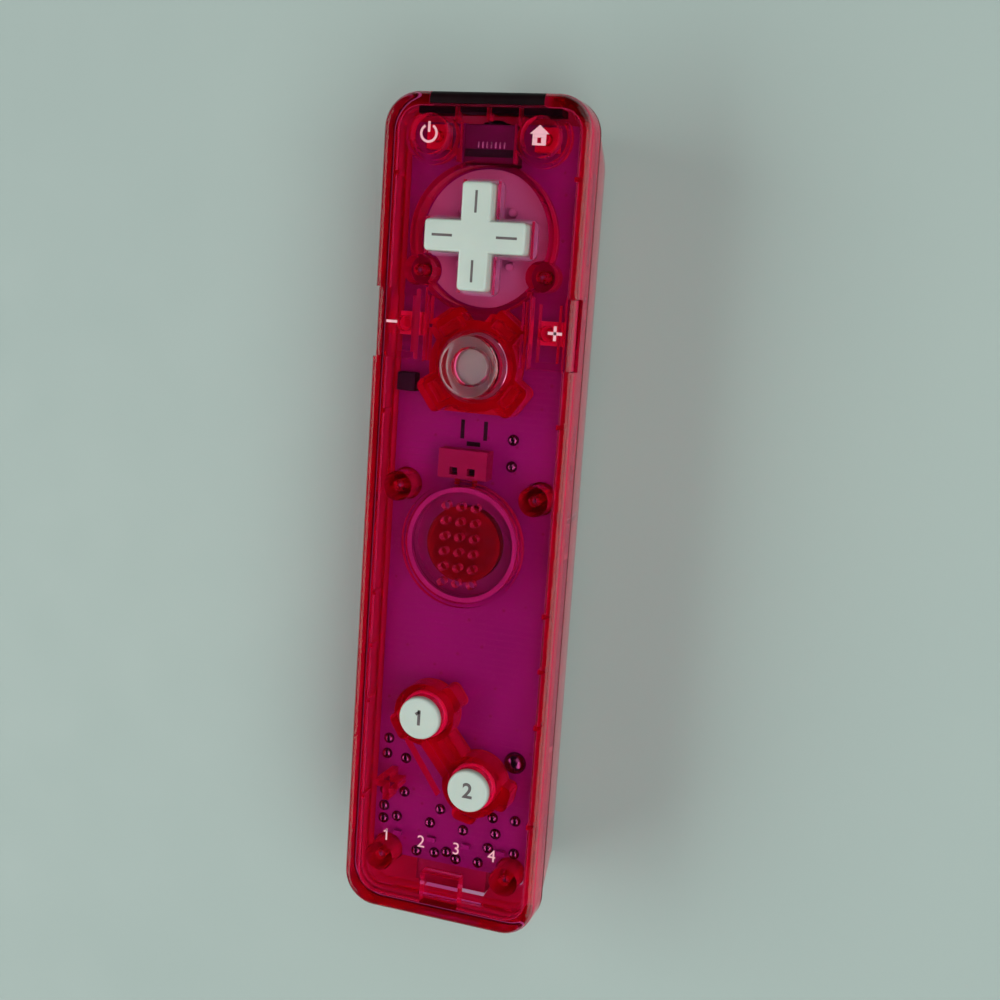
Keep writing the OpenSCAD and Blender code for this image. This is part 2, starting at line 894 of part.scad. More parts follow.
module touch_switches() {
    color(dark_colour)
        at_switches()
            difference() {
                box([-switch_w / 2, -switch_w / 2, board_top], [switch_w / 2, switch_w / 2, board_top + switch_h]);
                translate([0, 0, board_top + switch_h - switch_bore_depth])
                    cylinder(r = switch_bore_r, h = far);
            }
}

// Plunger between a switch and the key above it
module plunger(x, y) {
    color(white_colour)
        translate([x, y, plunger_low])
            cylinder(r = plunger_r, h = flange_low - plunger_low);
}

module sync_switch() {
    color(dark_colour)
        translate([0, sync_y, board_z - switch_h])
            difference() {
                translate([-sync_switch_w[0] / 2, -sync_switch_w[1] / 2, 0])
                    cube([sync_switch_w[0], sync_switch_w[1], switch_h]);
                translate([0, 0, -1])
                    cylinder(r = switch_bore_r, h = switch_bore_depth + 1);
            }
}

module sync_button() {
    color(white_colour)
        translate([0, sync_y, sync_low])
            cylinder(r = sync_r, h = sync_high - sync_low);
}

module sync_plunger() {
    color(white_colour)
        translate([0, sync_y, sync_high])
            cylinder(r = plunger_r, h = board_z - switch_h + 0.8 - sync_high);
}

module trigger_dome() {
    color(silicone_colour)
        translate([0, post_y, dome_low])
            cylinder(r1 = 1.6, r2 = 2.6, h = board_z - dome_low);
}

module speaker_frame() {
    low = board_top + 0.3;
    color(dark_colour)
        translate([0, speaker_y, low])
            rotate_extrude()
                polygon([
                    [6.7, 0], [speaker_r, 0], [speaker_r, flange_top - low], [speaker_r - 0.8, flange_top - low],
                    [speaker_r - 0.8, 0.7], [6.7, 0.7]
                ]);
}

module speaker_cone() {
    skin = 0.25;
    edge = speaker_r - 0.95;
    crown = [[0, 0], [3, -0.2], [6.2, -1.1], [7.1, -0.5], [8, -0.35], [edge, -0.6]];
    color(white_colour)
        translate([0, speaker_y, flange_top])
            rotate_extrude()
                polygon(concat(crown, [for (i = [len(crown) - 1 : -1 : 0]) crown[i] - [0, skin]]));
}

module speaker_magnet() {
    color(dark_colour)
        translate([0, speaker_y, board_top + 0.3]) {
            cylinder(r = 6.5, h = 1.6);
            cylinder(r = 4, h = 1.9);
        }
}

plug_lead_x = [-2.6, 0.6];
plug_y = speaker_y + speaker_r + 1.3;
lead_z = board_top + 0.75;
lead_r = 0.45;

module speaker_plug() {
    color(white_colour)
        difference() {
            box([-5.4, plug_y, board_top], [3.4, plug_y + 5, board_top + 3.2]);
            for (x = plug_lead_x)
                translate([x, plug_y - 1, lead_z])
                    rotate([-90, 0, 0])
                        cylinder(r = lead_r + 0.1, h = 3);
            for (x = plug_lead_x)
                box([x - 0.7, plug_y + 0.6, board_top + 1.8], [x + 0.7, plug_y + 1.9, far]);
        }
}

module speaker_leads() {
    color(silicone_colour)
        for (x = plug_lead_x)
            translate([x, speaker_y + speaker_r, lead_z])
                rotate([-90, 0, 0])
                    cylinder(r = lead_r, h = plug_y + 1.8 - speaker_y - speaker_r);
}

module rumble_motor() {
    color(steel_colour)
        difference() {
            bar_x(motor_y, motor_z, motor_r, motor_x[0], motor_x[1]);
            bar_x(motor_y, motor_z, shaft_r + 0.05, motor_x[1] - 4, motor_x[1] + 1);
        }
}

module rumble_shaft() {
    color(steel_colour)
        bar_x(motor_y, motor_z, shaft_r, motor_x[1] - 3.8, shaft_end);
}

// Half disc that hangs below the shaft, with a hub round it
module rumble_weight() {
    color(brass_colour)
        difference() {
            union() {
                intersection() {
                    bar_x(motor_y, motor_z, weight_r, weight_x[0], weight_x[1]);
                    box([weight_x[0], motor_y - far, 0], [weight_x[1], motor_y + far, motor_z]);
                }
                bar_x(motor_y, motor_z, 1.2, weight_x[0], weight_x[1]);
            }
            bar_x(motor_y, motor_z, shaft_r + 0.02, 0, far);
        }
}

module expansion_port() {
    half_w = port_w / 2;
    half_h = port_h / 2;
    color(white_colour) {
        difference() {
            box(
                [-half_w - port_wall, port_mouth_y, port_z - half_h - port_wall],
                [half_w + port_wall, port_back_y, port_z + half_h + port_wall]
            );
            box([-half_w, port_mouth_y - 1, port_z - half_h], [half_w, port_floor_y, port_z + half_h]);
        }
        box(
            [-tongue_w / 2, tongue_y, port_z - tongue_t / 2],
            [tongue_w / 2, port_floor_y + bit, port_z + tongue_t / 2]
        );
    }
}

module port_contacts() {
    strip = [0.9, 3.4, 0.2];
    color(brass_colour)
        for (x = [-2.8, 0, 2.8], z = [tongue_t / 2, -tongue_t / 2 - strip[2]])
            translate([x - strip[0] / 2, tongue_y + 0.4, port_z + z])
                cube(strip);
}

// One cell along y, its nub toward +y, its nub's end at the origin
module cell() {
    rotate([90, 0, 0]) {
        cylinder(r = nub_r, h = nub_l + bit);
        translate([0, 0, nub_l])
            cylinder(r = cell_d / 2, h = cell_l - nub_l);
    }
}

module cell_left() {
    color(steel_colour)
        translate([-cell_pitch / 2, bay_front - plate_t, cell_z])
            cell();
}

module cell_right() {
    color(steel_colour)
        translate([cell_pitch / 2, bay_back + plate_t, cell_z])
            rotate(180)
                cell();
}

module cell_bridge() {
    color(steel_colour)
        box([-cell_pitch / 2 - 5, bay_back, cell_z - 4.5], [cell_pitch / 2 + 5, bay_back + plate_t, cell_z + 4.5]);
}

module cell_terminals() {
    color(steel_colour)
        both_sides()
            box(
                [cell_pitch / 2 - 5, bay_front - plate_t, cell_z - 4.5],
                [cell_pitch / 2 + 5, bay_front, cell_z + 4.5]
            );
}

// Tapering coil whose wide end stands on the plate at y = 0
module cell_spring() {
    rings = spring_steps + 1;
    polyhedron(
        points = [for (i = [0 : spring_steps], side = [0 : spring_sides - 1]) spring_skin(i, side)],
        faces = concat(
            [[for (side = [0 : spring_sides - 1]) side]],
            [[for (side = [spring_sides - 1 : -1 : 0]) (rings - 1) * spring_sides + side]],
            [
                for (i = [0 : spring_steps - 1], side = [0 : spring_sides - 1])
                    let (next = (side + 1) % spring_sides)
                    [
                        i * spring_sides + side, (i + 1) * spring_sides + side,
                        (i + 1) * spring_sides + next, i * spring_sides + next
                    ]
            ]
        )
    );
}

module cell_springs() {
    color(steel_colour) {
        translate([-cell_pitch / 2, bay_back + plate_t, cell_z])
            cell_spring();
        translate([cell_pitch / 2, bay_front - plate_t, cell_z])
            rotate(180)
                cell_spring();
    }
}

module case_screws() {
    color(steel_colour)
        for (pair = boss_pairs)
            both_sides()
                translate([pair[0], pair[1], 0]) {
                    translate([0, 0, screw_seat_z - screw_head_h])
                        cylinder(r = screw_head_r, h = screw_head_h);
                    translate([0, 0, screw_seat_z - bit])
                        cylinder(r = screw_shank_r, h = screw_top - screw_seat_z);
                }
}

module trigger_pin() {
    color(steel_colour)
        bar_x(hinge_y, hinge_z, pin_r, -ear_x - ear_t + 0.1, ear_x + ear_t - 0.1);
}

module dpad_pivot() {
    color(steel_colour)
        translate([0, cross_y, pivot_z])
            sphere(pivot_r);
}

module dpad() {
    color(white_colour)
        difference() {
            translate([0, cross_y, 0]) {
                translate([0, 0, cross_flange_low])
                    linear_extrude(cross_flange_top - cross_flange_low)
                        cross_outline(cross_lip);
                translate([0, 0, cross_flange_low])
                    linear_extrude(face_z + cross_rise - cross_flange_low)
                        cross_outline(0);
                translate([0, 0, pivot_z - 0.5])
                    cylinder(r = cross_hub_r, h = cross_flange_top - pivot_z);
            }
            translate([0, cross_y, pivot_z])
                sphere(pivot_r + pivot_clear);
            both_sides()
                translate([boss_window[0], boss_window[1], 0])
                    cylinder(r = boss_r + 0.45, h = face_under);
        }
}

module a_button() {
    color([0.8, 0.8, 0.82, 0.5])
        translate([0, large_key_y, 0])
            difference() {
                round_key(large_key_d / 2, key_rise, large_flange_r);
                translate([0, 0, flange_low - 1])
                    cylinder(r = 3.4, h = 3);
            }
}

// Small key at the window end, its flange cut clear of the window's teeth
module small_key(x) {
    color(shell_colour)
        intersection() {
            translate([x, small_key_y, 0])
                round_key(small_key_d / 2, small_key_rise, small_flange_r);
            union() {
                box([x - far, small_key_y - far, 0], [x + far, tooth_back_y - 1.8, far]);
                translate([x, small_key_y, 0])
                    cylinder(d = small_key_d + 2 * bit, h = far);
            }
        }
}

module power_button() {
    small_key(-small_key_x);
}

module home_button() {
    small_key(small_key_x);
}

// Plus key: a cap over the side edge, hollow round a stem
module side_key() {
    half = side_key_l / 2;
    inner_x = notch_inner_x + key_gap;
    color(shell_colour)
        difference() {
            intersection() {
                union() {
                    box([inner_x, side_key_y - half, side_key_low], [side_x, side_key_y + half, face_z]);
                    box([inner_x, side_key_y - half, flange_low], [side_skirt_x, side_key_y + half, face_z - 0.5]);
                    box(
                        [inner_x - 0.9, side_key_y - half - 0.5, flange_low],
                        [side_skirt_x, side_key_y + half + 0.5, flange_top]
                    );
                }
                face_block(side_key_inset, seam_z, face_z, edge_r);
            }
            difference() {
                box(
                    [inner_x + 1, side_key_y - half + 1, flange_low - 1],
                    [side_skirt_x - 0.8, side_key_y + half - 1, face_z - 1.2]
                );
                translate([side_switch_x, side_key_y, 0])
                    cylinder(r = plunger_r + 0.5, h = far);
            }
        }
}

module plus_button() {
    side_key();
}

module minus_button() {
    mirror([1, 0, 0])
        side_key();
}

module number_key(at) {
    color(white_colour)
        translate([at[0], at[1], 0])
            round_key(number_key_d / 2, key_rise, number_flange_r);
}

// Finger plate of the trigger between two arcs about one centre
module trigger_plate(x0, x1, inner, outer) {
    intersection() {
        difference() {
            bar_x(trigger_face_y, trigger_face_z, outer, x0, x1);
            bar_x(trigger_face_y, trigger_face_z, inner, x0 - 1, x1 + 1);
        }
        box([x0, trigger_tail, -1], [x1, trigger_nose, far]);
    }
}

module b_trigger() {
    half = trigger_w / 2;
    color(shell_colour)
        difference() {
            union() {
                trigger_plate(-half, half, trigger_face_r, trigger_face_r + trigger_t);
                both_sides() {
                    difference() {
                        box([half - cheek_t, trigger_tail + 1, 0], [half, trigger_nose, hinge_z]);
                        bar_x(trigger_face_y, trigger_face_z, trigger_face_r + 0.5, -far, far);
                    }
                    bar_x(hinge_y, hinge_z, barrel_r, barrel_inner_x, half);
                    difference() {
                        box([barrel_inner_x, hinge_y - 1.4, 0], [half, hinge_y + 1.4, hinge_z]);
                        bar_x(trigger_face_y, trigger_face_z, trigger_face_r + 0.5, -far, far);
                    }
                }
                box([-1.3, post_y - 1.2, hollow_depth + 0.5], [1.3, post_y + 1.2, dome_low - dome_gap]);
            }
            bar_x(hinge_y, hinge_z, pin_r + pin_run, -far, far);
        }
}

module battery_door() {
    groove = [8, 0.8, 0.4];
    color(shell_colour)
        difference() {
            union() {
                difference() {
                    intersection() {
                        grip_block(door_recess);
                        box([-door_half, door_back, 0], [door_half, door_front, cell_z - 4.2]);
                    }
                    grip_block(rear_wall);
                }
                box([-0.6, bay_back + 10, rear_wall - overlap], [0.6, bay_front - 6, rear_wall + 3.5]);
            }
            for (i = [0 : 4])
                translate([-groove[0] / 2, bay_back + 1 + 1.6 * i, door_recess - 1])
                    cube([groove[0], groove[1], groove[2] + 1]);
        }
}

front_shell();
rear_shell();
ir_window();
ir_camera();
camera_lens();
main_board();
main_chip();
radio_shield();
clock_crystal();
power_coil();
board_parts();
solder_points();
player_lamps();
dpad_membrane();
a_membrane();
number_membrane();
touch_switches();
sync_switch();
trigger_dome();
speaker_frame();
speaker_cone();
speaker_magnet();
speaker_plug();
speaker_leads();
rumble_motor();
expansion_port();
port_contacts();
cell_left();
cell_right();
cell_bridge();
cell_terminals();
cell_springs();
case_screws();
trigger_pin();
dpad_pivot();
dpad();
a_button();
power_button();
plunger(-small_key_x, small_key_y);  // power_plunger
home_button();
plunger(small_key_x, small_key_y);  // home_plunger
minus_button();
plunger(-side_switch_x, side_key_y);  // minus_plunger
plus_button();
plunger(side_switch_x, side_key_y);  // plus_plunger
number_key(one_at);  // one_button
number_key(two_at);  // two_button
b_trigger();
battery_door();
sync_button();
sync_plunger();
rumble_shaft();
rumble_weight();
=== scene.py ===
"""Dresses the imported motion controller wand: clear shell, keys, board, cells, and a pale studio floor."""

import json
import logging
import math
from collections.abc import Callable, Iterable, Iterator, Sequence
from contextlib import contextmanager
from dataclasses import dataclass
from enum import Enum

import bmesh
import bpy
from mathutils import Matrix, Vector

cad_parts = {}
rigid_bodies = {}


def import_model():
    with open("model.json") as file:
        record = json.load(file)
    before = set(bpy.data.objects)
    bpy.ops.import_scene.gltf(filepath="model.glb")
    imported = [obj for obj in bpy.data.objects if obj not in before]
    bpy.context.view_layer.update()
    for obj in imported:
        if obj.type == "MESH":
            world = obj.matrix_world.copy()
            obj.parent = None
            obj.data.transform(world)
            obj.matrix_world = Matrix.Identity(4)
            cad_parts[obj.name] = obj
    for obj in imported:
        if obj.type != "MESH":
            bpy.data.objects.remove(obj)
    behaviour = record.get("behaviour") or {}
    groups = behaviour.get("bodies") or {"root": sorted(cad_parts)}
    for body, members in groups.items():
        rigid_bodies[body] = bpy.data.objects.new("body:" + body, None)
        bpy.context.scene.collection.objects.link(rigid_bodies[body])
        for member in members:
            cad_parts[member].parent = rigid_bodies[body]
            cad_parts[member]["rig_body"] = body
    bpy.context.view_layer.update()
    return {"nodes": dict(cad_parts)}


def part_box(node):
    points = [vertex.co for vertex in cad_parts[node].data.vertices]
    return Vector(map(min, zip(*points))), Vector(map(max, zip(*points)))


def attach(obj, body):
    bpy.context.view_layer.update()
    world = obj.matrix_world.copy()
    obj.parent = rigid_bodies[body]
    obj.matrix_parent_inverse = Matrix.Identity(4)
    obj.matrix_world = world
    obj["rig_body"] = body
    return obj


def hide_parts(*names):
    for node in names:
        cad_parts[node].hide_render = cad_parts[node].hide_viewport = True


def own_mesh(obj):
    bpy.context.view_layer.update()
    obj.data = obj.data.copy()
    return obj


LOG = logging.getLogger("wand")
MM = 0.001

Colour = tuple[float, float, float]
Span = tuple[float, float]
Spot = tuple[float, float]
Point = tuple[float, float, float]
Profile = Sequence[tuple[float, float]]

# Places in millimetres that more than one assembly uses
CROSS_Y = 48.4
LARGE_KEY: Spot = (0.0, 27.1)
ONE_KEY: Spot = (-4.85, -34.6)
TWO_KEY: Spot = (4.95, -46.15)
SPEAKER_Y = -3.5
BOARD_TOP = 19.0

# What the helpers share: closeness in metres, tilt of a wall, angles, and the middle of a noise pattern
ORIGIN: Point = (0.0, 0.0, 0.0)
TOUCH = 1e-5
WALL_TILT = 0.1
SMOOTH_ANGLE = 35.0
FLAT_ANGLE = math.radians(0.5)
NOISE_MIDDLE: Span = (0.3, 0.7)

# The flag of a printed one, in shares of the digit's height, and half the thickness of the ink
FLAG_LONG = 0.24
FLAG_THICK = 0.09
FLAG_AT: Spot = (0.02, 0.33)
FLAG_TURN = math.radians(38.0)
INK_HALF = 0.01


class Slot(Enum):
    """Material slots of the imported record."""

    SHELL = "shell_plastic"
    DARK = "dark_plastic"
    WHITE = "white_plastic"
    CLEAR = "clear_plastic"
    BOARD = "board_laminate"
    BLACK = "black_parts"
    RED_PLASTIC = "red_plastic"
    RED_SILICONE = "red_silicone"
    PALE_SILICONE = "pale_silicone"
    WIRE = "lead_wire"
    STEEL = "steel"
    BRASS = "brass"
    CELL = "cell_jacket"


class Lie(Enum):
    """Way that a turned piece's axis points."""

    UP = (0.0, 0.0, 0.0)
    DOWN = (math.pi, 0.0, 0.0)
    FORWARD = (-math.pi / 2, 0.0, 0.0)
    BACKWARD = (math.pi / 2, 0.0, 0.0)


class NodeGraph:
    """A material's node tree with short calls to add and join nodes."""

    def __init__(self, name: str) -> None:
        """Start a material that holds a Principled shader and its output."""
        self.material = bpy.data.materials.new(name)
        self.material.use_nodes = True
        self.tree = self.material.node_tree
        self.tree.nodes.clear()
        self.output = self.add("ShaderNodeOutputMaterial")
        self.shader = self.add("ShaderNodeBsdfPrincipled")
        self.join(self.shader.outputs["BSDF"], self.output.inputs["Surface"])
        self.coords = self.add("ShaderNodeTexCoord").outputs["Object"]

    def add(self, kind: str, **values: object) -> bpy.types.Node:
        """Add a node and set the inputs named by the values.

        Args:
            kind: Blender's name of the node type.
            values: Input values, with underscores for the spaces of the input names.

        Returns:
            The new node.
        """
        node = self.tree.nodes.new(kind)
        for name, value in values.items():
            node.inputs[name.replace("_", " ")].default_value = value
        return node

    def join(self, source: bpy.types.NodeSocket, target: bpy.types.NodeSocket) -> None:
        """Join an output socket to an input socket."""
        self.tree.links.new(source, target)

    def noise(self, scale: float, detail: float = 3.0) -> bpy.types.NodeSocket:
        """Add a noise pattern on the object's own coordinates.

        Args:
            scale: Pattern repeats per metre.
            detail: Number of finer layers.

        Returns:
            The pattern's value.
        """
        node = self.add("ShaderNodeTexNoise", Scale=scale, Detail=detail)
        self.join(self.coords, node.inputs["Vector"])
        return node.outputs["Fac"]

    def ramp(
        self, value: bpy.types.NodeSocket, stops: Sequence[tuple[float, Colour]], hard: bool = False
    ) -> bpy.types.NodeSocket:
        """Turn a value into colours.

        Args:
            value: The value to read, from 0 to 1.
            stops: Places and colours along the ramp.
            hard: True for steps in place of blends.

        Returns:
            The colour.
        """
        node = self.add("ShaderNodeValToRGB")
        band = node.color_ramp
        band.interpolation = "CONSTANT" if hard else "LINEAR"
        while len(band.elements) < len(stops):
            band.elements.new(1.0)
        for element, (place, colour) in zip(band.elements, stops):
            element.position = place
            element.color = (*colour, 1.0)
        self.join(value, node.inputs["Fac"])
        return node.outputs["Color"]

    def remap(self, value: bpy.types.NodeSocket, source: Span, target: Span) -> bpy.types.NodeSocket:
        """Map a value from one range onto another, held at the ends.

        Args:
            value: The value to map.
            source: The range that it is read in.
            target: The range that it is mapped onto.

        Returns:
            The mapped value.
        """
        node = self.add(
            "ShaderNodeMapRange", From_Min=source[0], From_Max=source[1], To_Min=target[0], To_Max=target[1]
        )
        self.join(value, node.inputs["Value"])
        return node.outputs["Result"]

    def spread(self, value: bpy.types.NodeSocket, low: float, high: float) -> bpy.types.NodeSocket:
        """Map the middle of a noise value onto a range from low to high."""
        return self.remap(value, NOISE_MIDDLE, (low, high))

    def emboss(self, height: bpy.types.NodeSocket, strength: float, depth: float) -> None:
        """Give the shader a fine relief.

        Args:
            height: The relief's height value.
            strength: Share of the relief that shows.
            depth: Depth of the relief in metres.
        """
        node = self.add("ShaderNodeBump", Strength=strength, Distance=depth)
        self.join(height, node.inputs["Height"])
        self.join(node.outputs["Normal"], self.shader.inputs["Normal"])

    def feed(self, name: str, source: bpy.types.NodeSocket) -> None:
        """Join an output socket to one of the shader's own sockets."""
        self.join(source, self.shader.inputs[name])

    def fix(self, **values: object) -> None:
        """Set values on the shader's own sockets, with underscores for spaces."""
        for name, value in values.items():
            self.shader.inputs[name.replace("_", " ")].default_value = value


@dataclass(frozen=True)
class Finish:
    """A solid surface: two tones that drift into each other, a roughness range and a fine relief."""

    name: str
    slot: Slot
    tone: Colour
    rough: Span
    drift: Colour | None = None
    grain: float = 900.0
    relief: float = 0.08
    relief_depth: float = 0.05
    metal: float = 0.0
    coat: float = 0.0
    soft: float = 0.0
    soft_depth: float = 0.8
    shine: float = 0.5

    def material(self) -> bpy.types.Material:
        """Make the material once, and return the same one after that."""
        found = bpy.data.materials.get(self.name)
        if found:
            return found
        graph = NodeGraph(self.name)
        self.paint(graph)
        return graph.material

    def tones(self, graph: NodeGraph, value: bpy.types.NodeSocket) -> bpy.types.NodeSocket:
        """Blend the two tones over the middle of a noise value."""
        low, high = NOISE_MIDDLE
        return graph.ramp(value, ((low, self.tone), (high, self.drift or self.tone)))

    def paint(self, graph: NodeGraph) -> None:
        """Lay tone, roughness and relief onto the shader."""
        cloud = graph.noise(self.grain * 0.15)
        fine = graph.noise(self.grain, 5.0)
        graph.feed("Base Color", self.tones(graph, cloud))
        graph.feed("Roughness", graph.spread(fine, *self.rough))
        graph.emboss(fine, self.relief, self.relief_depth * MM)
        graph.fix(Metallic=self.metal, Coat_Weight=self.coat, Specular_IOR_Level=self.shine)
        if self.soft:
            graph.fix(Subsurface_Weight=self.soft, Subsurface_Scale=self.soft_depth * MM)


@dataclass(frozen=True)
class ClearFinish(Finish):
    """A clear plastic that takes up light along its path, polished where level and hazy where upright, its
    upright walls part diffuse in a red tone that is a painted glow of light carried along them.
    """

    absorb: Colour = (1.0, 1.0, 1.0)
    density: float = 0.0
    index: float = 1.49
    upright_rough: float = 0.04
    # Diffuse tone of upright walls: a painted glow standing in for light carried along the walls
    wall_glow_tone: Colour = (1.0, 1.0, 1.0)
    upright_clear: float = 1.0

    def paint(self, graph: NodeGraph) -> None:
        """Lay the clear surface and its coloured body, with the painted glow on the upright walls."""
        facing = self.facing(graph)
        fine = graph.noise(self.grain, 4.0)
        # Upright walls take the wall glow tone, a painted glow; level faces stay clear
        graph.feed("Base Color", graph.ramp(facing, ((0.0, self.wall_glow_tone), (1.0, self.tone))))
        satin = graph.add("ShaderNodeMath")
        satin.operation = "MAXIMUM"
        graph.join(graph.spread(fine, *self.rough), satin.inputs[0])
        graph.join(graph.remap(facing, (0.0, 1.0), (self.upright_rough, 0.0)), satin.inputs[1])
        graph.feed("Roughness", satin.outputs["Value"])
        graph.emboss(graph.noise(self.grain * 0.2), self.relief, self.relief_depth * MM)
        graph.fix(Transmission_Weight=1.0, IOR=self.index, Coat_Weight=self.coat)
        # The share of each upright wall that is not clear shows the painted glow tone
        if self.upright_clear < 1.0:
            clear = graph.remap(facing, (0.0, 1.0), (self.upright_clear, 1.0))
            graph.feed("Transmission Weight", clear)
        if self.density:
            body = graph.add("ShaderNodeVolumeAbsorption", Color=(*self.absorb, 1.0), Density=self.density)
            graph.join(body.outputs["Volume"], graph.output.inputs["Volume"])

    def facing(self, graph: NodeGraph) -> bpy.types.NodeSocket:
        """Tell level faces from upright walls.

        Args:
            graph: The material's node tree.

        Returns:
            A value that is 0 on upright walls and 1 on level faces.
        """
        surface = graph.add("ShaderNodeNewGeometry")
        split = graph.add("ShaderNodeSeparateXYZ")
        graph.join(surface.outputs["Normal"], split.inputs["Vector"])
        level = graph.add("ShaderNodeMath")
        level.operation = "ABSOLUTE"
        graph.join(split.outputs["Z"], level.inputs[0])
        return graph.remap(level.outputs["Value"], (0.35, 0.85), (0.0, 1.0))


@dataclass(frozen=True)
class BoardFinish(Finish):
    """Solder mask over copper: broad fills, fine tracks and small through holes."""

    relief_depth: float = 0.04
    track: Colour = (0.4, 0.1, 0.45)
    track_scale: float = 210.0
    hole: Colour = (0.24, 0.006, 0.14)
    hole_scale: float = 330.0
    hole_size: float = 0.1

    def paint(self, graph: NodeGraph) -> None:
        """Lay the mask's tone, its tracks and its holes."""
        cloud = graph.noise(self.grain * 0.1)
        ground = graph.ramp(cloud, ((0.35, self.tone), (0.65, self.drift or self.tone)))
        tracks = graph.add("ShaderNodeTexBrick", Scale=self.track_scale, Mortar_Size=0.03, Brick_Width=1.3)
        tracks.offset = 0.35
        graph.join(graph.coords, tracks.inputs["Vector"])
        graph.join(ground, tracks.inputs["Color1"])
        graph.join(ground, tracks.inputs["Color2"])
        tracks.inputs["Mortar"].default_value = (*self.track, 1.0)
        cells = graph.add("ShaderNodeTexVoronoi", Scale=self.hole_scale)
        graph.join(graph.coords, cells.inputs["Vector"])
        stops = ((0.0, (1.0, 1.0, 1.0)), (self.hole_size, (0.0, 0.0, 0.0)))
        holes = graph.ramp(cells.outputs["Distance"], stops, hard=True)
        mix = graph.add("ShaderNodeMix")
        mix.data_type = "RGBA"
        # The mix node has sockets of one name for each data type, so its colour sockets go by number
        graph.join(holes, mix.inputs[0])
        graph.join(tracks.outputs["Color"], mix.inputs[6])
        mix.inputs[7].default_value = (*self.hole, 1.0)
        graph.feed("Base Color", mix.outputs[2])
        graph.feed("Roughness", graph.spread(graph.noise(self.grain, 4.0), *self.rough))
        graph.emboss(tracks.outputs["Fac"], self.relief, self.relief_depth * MM)
        graph.fix(Coat_Weight=self.coat)


@dataclass(frozen=True)
class BrushedFinish(Finish):
    """A metal drawn along the body, with fine lines across its sheen."""

    relief_depth: float = 0.03
    stretch: float = 14.0

    def paint(self, graph: NodeGraph) -> None:
        """Lay the metal's tone and its drawn lines."""
        mapping = graph.add("ShaderNodeMapping", Scale=(1.0, 1.0 / self.stretch, 1.0))
        graph.join(graph.coords, mapping.inputs["Vector"])
        lines = graph.add("ShaderNodeTexNoise", Scale=self.grain * 3.0, Detail=4.0)
        graph.join(mapping.outputs["Vector"], lines.inputs["Vector"])
        value = lines.outputs["Fac"]
        graph.feed("Base Color", self.tones(graph, value))
        graph.feed("Roughness", graph.spread(value, *self.rough))
        graph.emboss(value, self.relief, self.relief_depth * MM)
        graph.fix(Metallic=self.metal)


@dataclass(frozen=True)
class BandedFinish(Finish):
    """A printed jacket along the body: a bare end, a narrow line and a long plain field."""

    relief_depth: float = 0.02
    start: float = 0.0
    length: float = 1.0
    collar: Colour = (0.5, 0.25, 0.08)
    line: Colour = (0.7, 0.7, 0.68)

    def paint(self, graph: NodeGraph) -> None:
        """Lay the bands by their place along the cell."""
        split = graph.add("ShaderNodeSeparateXYZ")
        graph.join(graph.coords, split.inputs["Vector"])
        ends = (self.start * MM, (self.start + self.length) * MM)
        place = graph.remap(split.outputs["Y"], ends, (0.0, 1.0))
        bands = (
            (0.0, self.line), (0.03, self.collar), (0.27, self.line), (0.29, self.tone), (0.97, self.line),
        )
        graph.feed("Base Color", graph.ramp(place, bands, hard=True))
        fine = graph.noise(self.grain, 4.0)
        graph.feed("Roughness", graph.spread(fine, *self.rough))
        graph.emboss(fine, self.relief, self.relief_depth * MM)
        graph.fix(Metallic=self.metal, Coat_Weight=self.coat)


# The upright walls' red tone and clear share paint a glow standing in for light carried along the walls
SHELL = ClearFinish(
    "clear_pink_shell", Slot.SHELL, tone=(1.0, 1.0, 1.0), rough=(0.02, 0.05), grain=700.0, relief=0.03,
    absorb=(0.997, 0.35, 0.75), density=650.0, index=1.15, coat=0.3,
    upright_rough=0.1, wall_glow_tone=(1.0, 0.04, 0.18), upright_clear=0.62,
)
# A dark band along the seam: painted shadow in the groove between the two halves
SEAM_SHADOW = Finish(
    "seam_shadow_band", Slot.SHELL, tone=(0.12, 0.001, 0.004), drift=(0.1, 0.001, 0.004), rough=(0.5, 0.65)
)
CLEAR = ClearFinish(
    "clear_key", Slot.CLEAR, tone=(1.0, 1.0, 1.0), rough=(0.02, 0.05), grain=800.0, relief=0.03
)
CONE = ClearFinish(
    "clear_cone", Slot.CLEAR, tone=(1.0, 0.98, 1.0), rough=(0.03, 0.06), grain=800.0, relief=0.03,
    index=1.12,
)
BASKET = Finish(
    "pink_basket", Slot.CLEAR, tone=(0.44, 0.035, 0.24), drift=(0.4, 0.03, 0.22), rough=(0.4, 0.55),
    soft=0.2,
)
DARK = Finish(
    "dark_window", Slot.DARK, tone=(0.004, 0.001, 0.002), drift=(0.008, 0.002, 0.003), rough=(0.35, 0.45),
    shine=0.12,
)
WHITE = Finish(
    "cool_white_key", Slot.WHITE, tone=(0.52, 0.61, 0.54), drift=(0.49, 0.58, 0.52), rough=(0.3, 0.42),
    grain=1400.0, relief=0.1, soft=0.15,
)
LAMP_BODY = Finish(
    "lamp_body", Slot.WHITE, tone=(0.34, 0.016, 0.28), drift=(0.3, 0.013, 0.25), rough=(0.4, 0.55)
)
INK_GREY = Finish(
    "grey_ink", Slot.BLACK, tone=(0.09, 0.075, 0.075), drift=(0.12, 0.1, 0.1), rough=(0.5, 0.65),
    grain=5000.0, relief=0.1,
)
INK_PALE = Finish(
    "pale_ink", Slot.WHITE, tone=(0.88, 0.47, 0.53), drift=(0.84, 0.43, 0.49), rough=(0.45, 0.6),
    grain=5000.0, relief=0.1,
)
BOARD = BoardFinish(
    "purple_board", Slot.BOARD, tone=(0.3, 0.007, 0.24), drift=(0.26, 0.006, 0.21), rough=(0.35, 0.5),
    grain=600.0, relief=0.15, track=(0.28, 0.011, 0.22),
)
